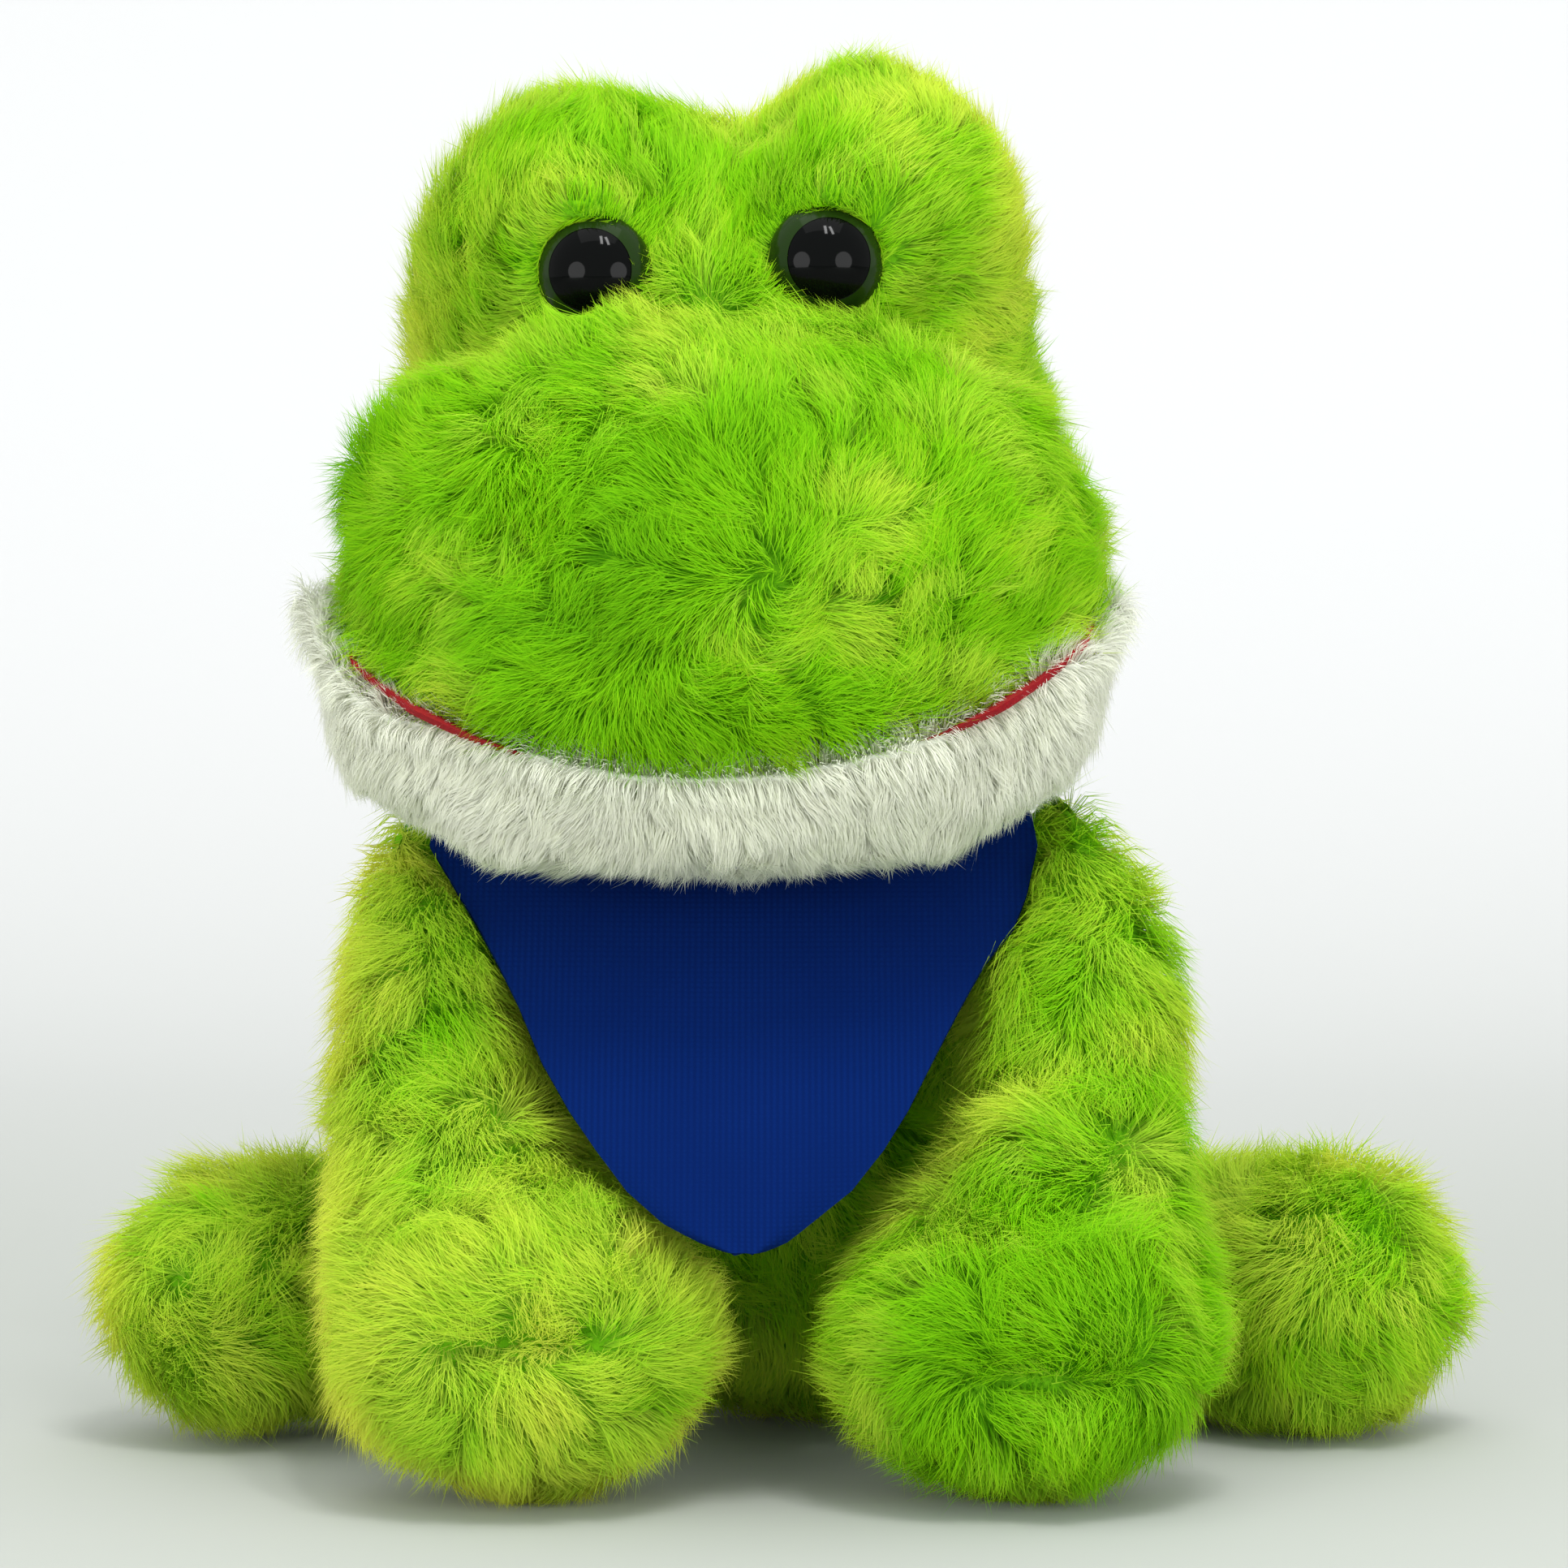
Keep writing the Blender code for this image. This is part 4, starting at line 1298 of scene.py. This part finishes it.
class Bib:
    """The cloth bib: one sheet of jersey over the chest, and the band that holds it."""

    def __init__(self, sizes: BibSizes) -> None:
        """Lays out the cloth.

        Args:
            sizes: its outline and its thickness.
        """
        self.sizes = sizes
        self.mesh = self.cloth()
        self.corners = [v.co.copy() for v in self.mesh.vertices]
        self.faces = [tuple(p.vertices) for p in self.mesh.polygons]
        seen = np.array(self.corners)[:, (0, 2)]
        tree = BVHTree.FromPolygons(self.corners, self.faces)
        self.front = ClothFront(tree, seen.min(0), seen.max(0))

    def cloth(self) -> bpy.types.Mesh:
        """Draws the middle of the sheet from its rows, and evens it.

        Returns:
            The mesh, with no thickness.
        """
        sizes = self.sizes
        bm = bmesh.new()
        lines = []
        for z, y, right, left in sizes.rows:
            line = []
            for i in range(sizes.columns + 1):
                share = i / sizes.columns
                x = right + (left - right) * share
                across = 2 * share - 1
                phase = across * sizes.ripple_across + z * sizes.ripple_down
                hang = sizes.cup * across**2 + sizes.ripple * math.sin(phase)
                line.append(bm.verts.new(Vector((x, y + hang, z)) * MM))
            lines.append(line)
        for upper, lower in zip(lines, lines[1:]):
            for i in range(sizes.columns):
                bm.faces.new((upper[i], lower[i], lower[i + 1], upper[i + 1]))
        inner = [v for v in bm.verts if not v.is_boundary]
        bmesh.ops.smooth_vert(bm, verts=inner, factor=sizes.ease)
        round_off = {"smooth": sizes.roundness, "use_grid_fill": True}
        bmesh.ops.subdivide_edges(bm, edges=bm.edges[:], cuts=1, **round_off)
        return closed_off(bm, "bib_cloth")

    def dress(self) -> None:
        """Makes the cloth and its neck band pieces of the frog."""
        sizes = self.sizes
        bm = bmesh.new()
        bm.from_mesh(self.mesh)
        bmesh.ops.recalc_face_normals(bm, faces=bm.faces)
        bmesh.ops.solidify(bm, geom=bm.faces, thickness=sizes.thickness)
        bmesh.ops.recalc_face_normals(bm, faces=bm.faces)
        mesh = closed_off(bm, "bib", sharp=60)
        obj = add_piece("bib", mesh, Finish.JERSEY, "", "navy_knit", "bib_yoke", "bib_flap")
        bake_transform(obj)
        band = merged_copy("neck_band")
        add_piece("bib_neck_band", band, Finish.JERSEY, "torso", "navy_knit", "neck_band")


@dataclass(frozen=True)
class EyePair:
    """Both safety eyes, turned finely from the sizes that the frame holds."""

    radius: float = 10.0 * MM
    pupil: float = 7.2 * MM
    rise: float = 6.5 * MM
    rim: float = 1.2 * MM
    lip: float = 0.25 * MM
    play: float = 0.12 * MM
    seat: float = 1.6 * MM
    seat_gap: float = 0.2 * MM
    stem: float = 2.4 * MM
    stem_length: float = 15.0 * MM
    steps: int = 64
    rim_steps: int = 6
    dome_steps: int = 24

    def dome(self, radius: float) -> float:
        """The height of the eye's dome over its rim."""
        ball = (self.radius**2 + self.rise**2) / (2 * self.rise)
        return math.sqrt(ball**2 - radius**2) - (ball - self.rise)

    def outline(self, inner: float, outer: float, count: int) -> list[tuple[float, float]]:
        """Points of the dome from an inner radius to an outer one."""
        radii = [inner + (outer - inner) * i / count for i in range(count + 1)]
        return [(r, self.rim + self.dome(r)) for r in radii]

    def turned(self, name: str, profile: list[tuple[float, float]], at: Matrix) -> bpy.types.Mesh:
        """Turns a profile about its own axis.

        Args:
            name: the mesh's name.
            profile: radius and height, from the top down.
            at: the matrix that puts it in the frog.

        Returns:
            The closed mesh.
        """
        bm = bmesh.new()
        verts = [bm.verts.new((r, 0.0, h)) for r, h in profile]
        edges = [bm.edges.new(pair) for pair in zip(verts, verts[1:])]
        bmesh.ops.spin(
            bm,
            geom=[*verts, *edges],
            axis=(0.0, 0.0, 1.0),
            cent=(0.0, 0.0, 0.0),
            angle=2 * math.pi,
            steps=self.steps,
            use_merge=True,
            use_duplicate=False,
        )
        bmesh.ops.remove_doubles(bm, verts=bm.verts, dist=WELD)
        bmesh.ops.recalc_face_normals(bm, faces=bm.faces)
        bmesh.ops.transform(bm, matrix=at, verts=bm.verts)
        return closed_off(bm, name, sharp=35)

    def build(self) -> None:
        """Makes the eyes pieces of the frog."""
        seat = self.rim + self.dome(self.pupil) - self.seat
        edge = self.pupil - self.play
        floor = seat + self.seat_gap
        rim = [
            (0.0, seat),
            (self.pupil, seat),
            *self.outline(self.pupil, self.radius - self.lip, self.rim_steps),
            (self.radius, self.rim - self.lip),
            (self.radius, 0.0),
            (self.stem, 0.0),
            (self.stem, -self.stem_length),
            (0.0, -self.stem_length),
        ]
        dome = [*self.outline(0.0, edge, self.dome_steps), (edge, floor), (0.0, floor)]
        pieces = (
            ("rim", rim, Finish.GREEN_ACRYLIC, "green_plastic", "iris"),
            ("dome", dome, Finish.BLACK_ACRYLIC, "black_plastic", "pupil"),
        )
        for eye in EYES:
            axis = Vector(eye.axis)
            turn = axis.to_track_quat("Z", "Y").to_matrix().to_4x4()
            at = Matrix.Translation(Vector(eye.centre) - axis * self.rim) @ turn
            for piece, profile, finish, slot, node in pieces:
                name = f"eye_{piece}_{eye.side}"
                mesh = self.turned(name, profile, at)
                add_piece(name, mesh, finish, "head", slot, f"eye_{node}_{eye.side}")
            washer = frame["nodes"][f"eye_washer_{eye.side}"].data
            washer.materials.clear()
            washer.materials.append(Finish.WHITE_NYLON.get())


@dataclass(frozen=True)
class Mouth:
    """The two sheets of felt that line the mouth, drawn out to the lips and in at the mouth's corners."""

    sheets: tuple[tuple[str, str, float], ...] = (("mouth_roof", "head", 1.15), ("mouth_floor", "jaw", 1.02))
    back: float = -33.0 * MM
    crest: float = 30.0 * MM
    wave: float = 90.0 * MM
    swing: float = 0.05
    middle: float = -10.0 * MM
    tuck: float = 0.13
    tuck_from: float = -72.0 * MM
    tuck_to: float = -52.0 * MM
    longest: float = 4.0 * MM

    def build(self) -> None:
        """Makes the felts pieces of the frog."""
        for node, body, stretch in self.sheets:
            bm = bmesh.new()
            bm.from_mesh(merged_copy(node))
            for vert in bm.verts:
                share = math.cos(2 * math.pi * (vert.co.x - self.crest) / self.wave)
                reach = stretch + self.swing * share
                rear = float(soft_step(vert.co.y, self.tuck_from, self.tuck_to))
                vert.co.x -= (vert.co.x - self.middle) * self.tuck * rear
                vert.co.y = self.back + (vert.co.y - self.back) * reach
            long = [e for e in bm.edges if e.calc_length() > self.longest]
            bmesh.ops.subdivide_edges(bm, edges=long, cuts=1)
            bmesh.ops.triangulate(bm, faces=bm.faces)
            mesh = closed_off(bm, node, sharp=40)
            add_piece(f"{node}_felt", mesh, Finish.RED_FELT, body, "red_felt", node)


@dataclass(frozen=True)
class Stuffing:
    """The filling of each piece, the pouch in the seat and the cloth of the neck seam."""

    facet: float = 4.0 * MM
    rounds: int = 2
    inset: float = 2.5 * MM
    cover: float = 1.5 * MM
    pouch_fill: float = 0.5

    def under(self, place: Vector, hide: BVHTree) -> Vector:
        """Moves a place that isn't well under a hide down below it."""
        near, normal = hide.find_nearest(place)[:2]
        return near - normal * self.cover if (place - near).dot(normal) > -self.cover else place

    def build(self, hides: list[Hide]) -> None:
        """Makes each filling a piece of fibre, drawn in under its sunk hide, in the order of the bodies.

        Args:
            hides: the hides.
        """
        bodies = list(frame["record"]["behaviour"]["bodies"])
        for hide in sorted(hides, key=lambda hide: bodies.index(hide.plan.body)):
            node = hide.plan.node("filling")
            tree = hide.tree()
            bm = bmesh.new()
            bm.from_mesh(evened(merged_copy(node), self.facet, self.rounds))
            bm.normal_update()
            places = [self.under(v.co - v.normal * self.inset, tree) for v in bm.verts]
            for vert, place in zip(bm.verts, places):
                vert.co = place
            mesh = closed_off(bm, node)
            obj = add_piece(f"{node}_fibre", mesh, Finish.FIBRE_FILL, hide.plan.body, "fibre_fill", node)
        node = "pellet_pouch"
        obj = add_piece(f"{node}_cloth", merged_copy(node), Finish.POUCH_CLOTH, "torso", "pouch_cloth", node)
        node = "neck_seam"
        add_piece(f"{node}_cloth", merged_copy(node), Finish.GREEN_BACKING, "neck", "green_plush", node)


def torso() -> StuffedPiece:
    """The plan of the body."""
    return StuffedPiece("torso", "torso", PileSizes(seed=11, density=2.6))


def head() -> StuffedPiece:
    """Plans the head with its two domes.

    Returns:
        The plan.
    """
    pile = PileSizes(
        seed=12,
        flow=(0.0, 0.3, 0.5),
        outward=1.0,
        density=5.8,
        length=9.0 * MM,
        lock=6.5 * MM,
        tone=0.04,
        ripe=0.84,
        stir=0.75,
        whorls=[
            *[Whorl(eye.centre[0], eye.centre[2], reach=20.0 * MM) for eye in EYES],
            Whorl(*mm(-13, 205, 11)),
        ],
    )
    shape = [
        Crease(
            [mm(-6, -44), mm(-7, 10)],
            width=8.0 * MM,
            depth=6.5 * MM,
            look=Look.ABOVE,
            thinning=0.3,
        ),
        Pull([mm(-66, -20, 230)], way=mm(4, 0, -2), reach=15.0 * MM),
        Pull([mm(45, -20, 240)], way=mm(-3, 0, -2), reach=15.0 * MM),
        Pull([mm(-68, -20, 204)], way=mm(-3, 0, 0), reach=22.0 * MM),
        Pull([mm(-34, -30, 240)], way=mm(0, 0, 2.5), reach=15.0 * MM),
        Pull([mm(-34, -62, 226)], way=mm(0, -5, -1), reach=9.0 * MM),
        Pull([mm(8, -62, 228)], way=mm(0, -5, -1), reach=9.0 * MM),
        Pull([mm(-12, -62, 204)], way=mm(0, -5, 0), reach=9.0 * MM),
    ]
    return StuffedPiece("head", "head", pile, shape, Side.FREE)


def muzzle() -> StuffedPiece:
    """Plans the muzzle, whose pile turns about one place.

    Returns:
        The plan.
    """
    pile = PileSizes(
        seed=13,
        density=6.2,
        length=9.5 * MM,
        tone=-0.14,
        ripe=0.62,
        swirl=1.0,
        swirl_wave=32.0 * MM,
        whorls=[
            Whorl(*mm(-2, 160, 100), push=1.0, spin=0.3),
            Whorl(*mm(-2, 160, 22), push=0.05, spin=1.0),
        ],
    )
    shape = [
        Pull([mm(-72, -60, 190)], way=mm(-7, 0, 4), reach=17.0 * MM),
        Pull([mm(-45, -70, 200)], way=mm(0, 0, 2), reach=17.0 * MM),
        Pull([mm(-35, -98, 134), mm(24, -97, 138)], way=mm(0, 0, -2.5), reach=22.0 * MM),
    ]
    return StuffedPiece("muzzle", "head", pile, shape, Side.FREE, HideSizes(low_share=0.4))


def chin() -> StuffedPiece:
    """Plans the chin, in short white pile, with its raised lip.

    Returns:
        The plan.
    """
    pile = PileSizes(
        seed=14,
        outward=0.5,
        density=9.0,
        length=6.0 * MM,
        least=0.8,
        top_lift=30.0,
        softness=0.96,
        stir=0.45,
        strays=0.05,
        lock_draw=0.1,
        tuft_draw=0.14,
        root_lift=52.0,
        tip_lift=14.0,
        lock=4.5 * MM,
        tuft=1.6 * MM,
        width=0.19 * MM,
        swirl=0.35,
    )
    lip = [mm(-52, -91, 129), mm(-28, -97, 123.5), mm(8, -97, 124.5), mm(28, -93, 130), mm(42, -87, 138)]
    shape = [
        Pull([mm(-80, -55, 151)], way=mm(-2, 0, 11), reach=15.0 * MM),
        Pull([mm(60, -55, 152)], way=mm(-4, 0, 2), reach=15.0 * MM),
        Pull(lip, way=mm(0, 0, 4.5), reach=11.0 * MM),
    ]
    hide = HideSizes(voxel=2.0 * MM, rounds=3, sink=2.8 * MM, lean=2.0, top_share=0.0)
    return StuffedPiece("chin", "jaw", pile, shape, Side.BEFORE, hide, white=True)


def arms() -> list[StuffedPiece]:
    """Plans the front legs, each with a seam across its paw and a raised shoulder.

    Returns:
        The plans, the frog's right one first.
    """
    # The right arm's high tone is partly painted light, lifting it out of the head's shade.
    right = PileSizes(seed=15, outward=0.4, tone=0.36, ripe=1.0)
    right.whorls = [
        Whorl(*mm(-44, 31, 24), push=1.0, spin=0.15, half=12.0 * MM),
        Whorl(*mm(-49, 66, 12), push=0.6, spin=0.6),
    ]
    right_shape = [
        Crease([mm(-54, 29), mm(-34, 31)], width=4.0 * MM, depth=2.5 * MM),
        Pull([mm(-70, -54, 104)], way=mm(4, 9, 16), reach=18.0 * MM),
    ]
    left = PileSizes(seed=16, outward=0.4, tone=-0.03, ripe=0.74)
    left.whorls = [
        Whorl(*mm(45, 25, 24), push=1.0, spin=-0.15, half=12.0 * MM),
        Whorl(*mm(58, 62, 12), push=0.3, spin=0.8),
    ]
    left_shape = [
        Crease([mm(33, 24), mm(58, 24)], width=4.0 * MM, depth=2.5 * MM),
        Pull([mm(49, -52, 104)], way=mm(-2, 5, 16), reach=19.0 * MM),
        Pull([mm(68, -50, 88)], way=mm(3, 0, 0), reach=22.0 * MM),
    ]
    return [
        StuffedPiece("arm_right", "arm_right", right, right_shape),
        StuffedPiece("arm_left", "arm_left", left, left_shape),
    ]


def legs() -> list[StuffedPiece]:
    """Plans the back legs, each with a whorl on the sole of its foot.

    Returns:
        The plans, the frog's right one first.
    """
    feet = (
        (
            "leg_right",
            17,
            Whorl(*mm(-108, 32, 20), push=0.15, spin=1.0),
            Pull([mm(-104, -15, 28)], way=mm(0, -8, -2), reach=30.0 * MM),
        ),
        (
            "leg_left",
            18,
            Whorl(*mm(86, 42, 18), push=0.15, spin=-1.0),
            Pull([mm(106, -5, 42)], way=mm(0, 0, 7), reach=18.0 * MM),
        ),
    )
    plans = []
    for name, seed, whorl, pull in feet:
        pile = PileSizes(seed, outward=0.6, density=4.2, tone=0.18, ripe=1.0, whorls=[whorl])
        plans.append(StuffedPiece(name, name, pile, [pull], Side.FREE))
    return plans


class Plush:
    """All hides with their pile."""

    quick_density = 0.25
    quick_width = 2.0

    def __init__(self, bib: Bib) -> None:
        """Keeps the bib, which the pile stays clear of, and makes the hides.

        Args:
            bib: the bib.
        """
        self.bib = bib
        self.hides = [Hide(plan) for plan in (torso(), head(), muzzle(), chin(), *arms(), *legs())]

    def obstacles(self) -> BVHTree:
        """Gathers every hide and the bib.

        Returns:
            A search tree over their faces.
        """
        corners: list[Vector] = []
        faces: list[tuple[int, ...]] = []
        shapes = [([Vector(p) for p in hide.points], hide.tris.tolist()) for hide in self.hides]
        for points, sides in [*shapes, (self.bib.corners, self.bib.faces)]:
            faces += [tuple(i + len(corners) for i in side) for side in sides]
            corners += points
        return BVHTree.FromPolygons(corners, faces)

    def build(self) -> None:
        """Shapes the hides behind the bib, and grows their pile."""
        for hide in self.hides:
            if hide.plan.side is Side.BEHIND:
                hide.keep_behind(self.bib.front)
        near = self.obstacles()
        for hide in self.hides:
            pile = hide.plan.pile
            hide.look_round(near, np.random.default_rng(pile.seed + 100))
            hide.dress()
            Pile(hide, self.bib.front).build()


@dataclass(frozen=True)
class Lamp:
    """One soft lamp, which looks at the frog's chest."""

    name: str
    place: tuple[float, float, float]
    size: tuple[float, float]
    power: float
    shape: str = "RECTANGLE"
    target: tuple[float, float, float] = (0.0, -0.03, 0.12)

    def hang(self) -> None:
        """Adds the lamp to the scene."""
        data = bpy.data.lights.new(self.name, "AREA")
        data.shape = self.shape
        data.size, data.size_y = self.size
        data.energy = self.power
        obj = linked(self.name, data)
        obj.location = self.place
        aim = Vector(self.target) - Vector(self.place)
        obj.rotation_euler = aim.to_track_quat("-Z", "Y").to_euler()


@dataclass
class StudioSizes:
    """The sweep with its painted light, darker near and lighter far, the white round it, and the camera's
    place and pitch.
    """

    start: float = 0.45
    bend: float = 0.7
    arc_start: float = 0.1
    arc_steps: int = 16
    front: float = -2.2
    top: float = 2.6
    width: float = 5.0
    # Painted light: the paper darkens towards the camera and lightens towards the backdrop, as a lamp washing
    # the wall would light it.
    near: tuple[float, str] = (0.1, "B2B5B0")
    far: tuple[float, str] = (0.95, "D2D2D3")
    air: str = "F4F7F6"
    air_strength: float = 1.1
    distance: float = 1.05
    height: float = 0.20
    pitch: float = 4.478
    lens: float = 131.35


class Studio:
    """A pale sweep, soft light from above and both sides, and the camera."""

    lamps = (
        Lamp("tube_-1", place=(0.12, -0.72, 1.5), size=(0.10, 0.42), power=5.0),
        Lamp("side_-1", place=(-1.0, -1.3, 0.30), size=(0.9, 0.9), power=11.5, shape="DISK"),
        Lamp("tube_1", place=(0.36, -0.72, 1.5), size=(0.10, 0.42), power=5.0),
        Lamp("side_1", place=(1.0, -1.3, 0.30), size=(0.9, 0.9), power=11.5, shape="DISK"),
        Lamp("overhead", place=(0.0, -0.25, 1.7), size=(1.6, 1.2), power=8.0),
    )

    def __init__(self, sizes: StudioSizes) -> None:
        """Keeps the sizes."""
        self.sizes = sizes

    def paper(self) -> bpy.types.Material:
        """Builds the sweep's matt paper, with painted light that leaves it a little darker near the camera
        and lighter towards the backdrop.

        Returns:
            The material.
        """
        made, shader = new_material("pale_paper_sweep", roughness=0.8, sheen=0.1)
        tree = made.node_tree
        place = add_node(tree, "ShaderNodeTexCoord").outputs["Object"]
        depth = add_node(tree, "ShaderNodeSeparateXYZ", {"Vector": place}).outputs["Y"]
        # Painted light: the colour follows depth, lighter towards the backdrop.
        ramp = add_node(tree, "ShaderNodeValToRGB", {"Fac": depth})
        ramp.color_ramp.interpolation = "EASE"
        for stop, (at, colour) in zip(ramp.color_ramp.elements, (self.sizes.near, self.sizes.far)):
            stop.position = at
            stop.color = linear(colour)
        tree.links.new(ramp.outputs["Color"], shader.inputs["Base Color"])
        return made

    def sweep(self) -> None:
        """Makes the floor, which curves up into the backdrop."""
        sizes = self.sizes
        bm = bmesh.new()
        profile = [(sizes.front, 0.0), (sizes.start, 0.0)]
        for angle in np.linspace(sizes.arc_start, math.pi / 2, sizes.arc_steps):
            y = sizes.start + sizes.bend * math.sin(angle)
            profile.append((y, sizes.bend * (1 - math.cos(angle))))
        profile.append((sizes.start + sizes.bend, sizes.top))
        verts = [bm.verts.new((-sizes.width / 2, y, z)) for y, z in profile]
        edges = [bm.edges.new(pair) for pair in zip(verts, verts[1:])]
        made = bmesh.ops.extrude_edge_only(bm, edges=edges)["geom"]
        moved = [v for v in made if isinstance(v, bmesh.types.BMVert)]
        bmesh.ops.translate(bm, vec=(sizes.width, 0.0, 0.0), verts=moved)
        bmesh.ops.recalc_face_normals(bm, faces=bm.faces)
        mesh = closed_off(bm, "sweep")
        mesh.materials.append(self.paper())
        linked("sweep", mesh)

    def build(self) -> None:
        """Sets up floor, light and camera."""
        self.sweep()
        for lamp in self.lamps:
            lamp.hang()
        world = bpy.data.worlds.new("studio_white")
        world.use_nodes = True
        back = world.node_tree.nodes["Background"]
        back.inputs["Color"].default_value = linear(self.sizes.air)
        back.inputs["Strength"].default_value = self.sizes.air_strength
        scene = bpy.context.scene
        scene.world = world
        scene.view_settings.view_transform = "Standard"
        data = bpy.data.cameras.new("camera")
        data.lens = self.sizes.lens
        camera = linked("camera", data)
        camera.location = (0.0, -self.sizes.distance, self.sizes.height)
        camera.rotation_euler = (math.radians(90 - self.sizes.pitch), 0.0, 0.0)
        scene.camera = camera


def write_sizes() -> None:
    """Brings the scene's view layer up to date."""
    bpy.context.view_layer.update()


def main() -> None:
    """Builds the frog and its studio."""
    logging.basicConfig(level=logging.INFO, format="%(message)s")
    bib = Bib(BibSizes())
    plush = Plush(bib)
    plush.build()
    bib.dress()
    EyePair().build()
    Mouth().build()
    Stuffing().build(plush.hides)
    Studio(StudioSizes()).build()
    write_sizes()


if __name__ == "__main__":
    main()
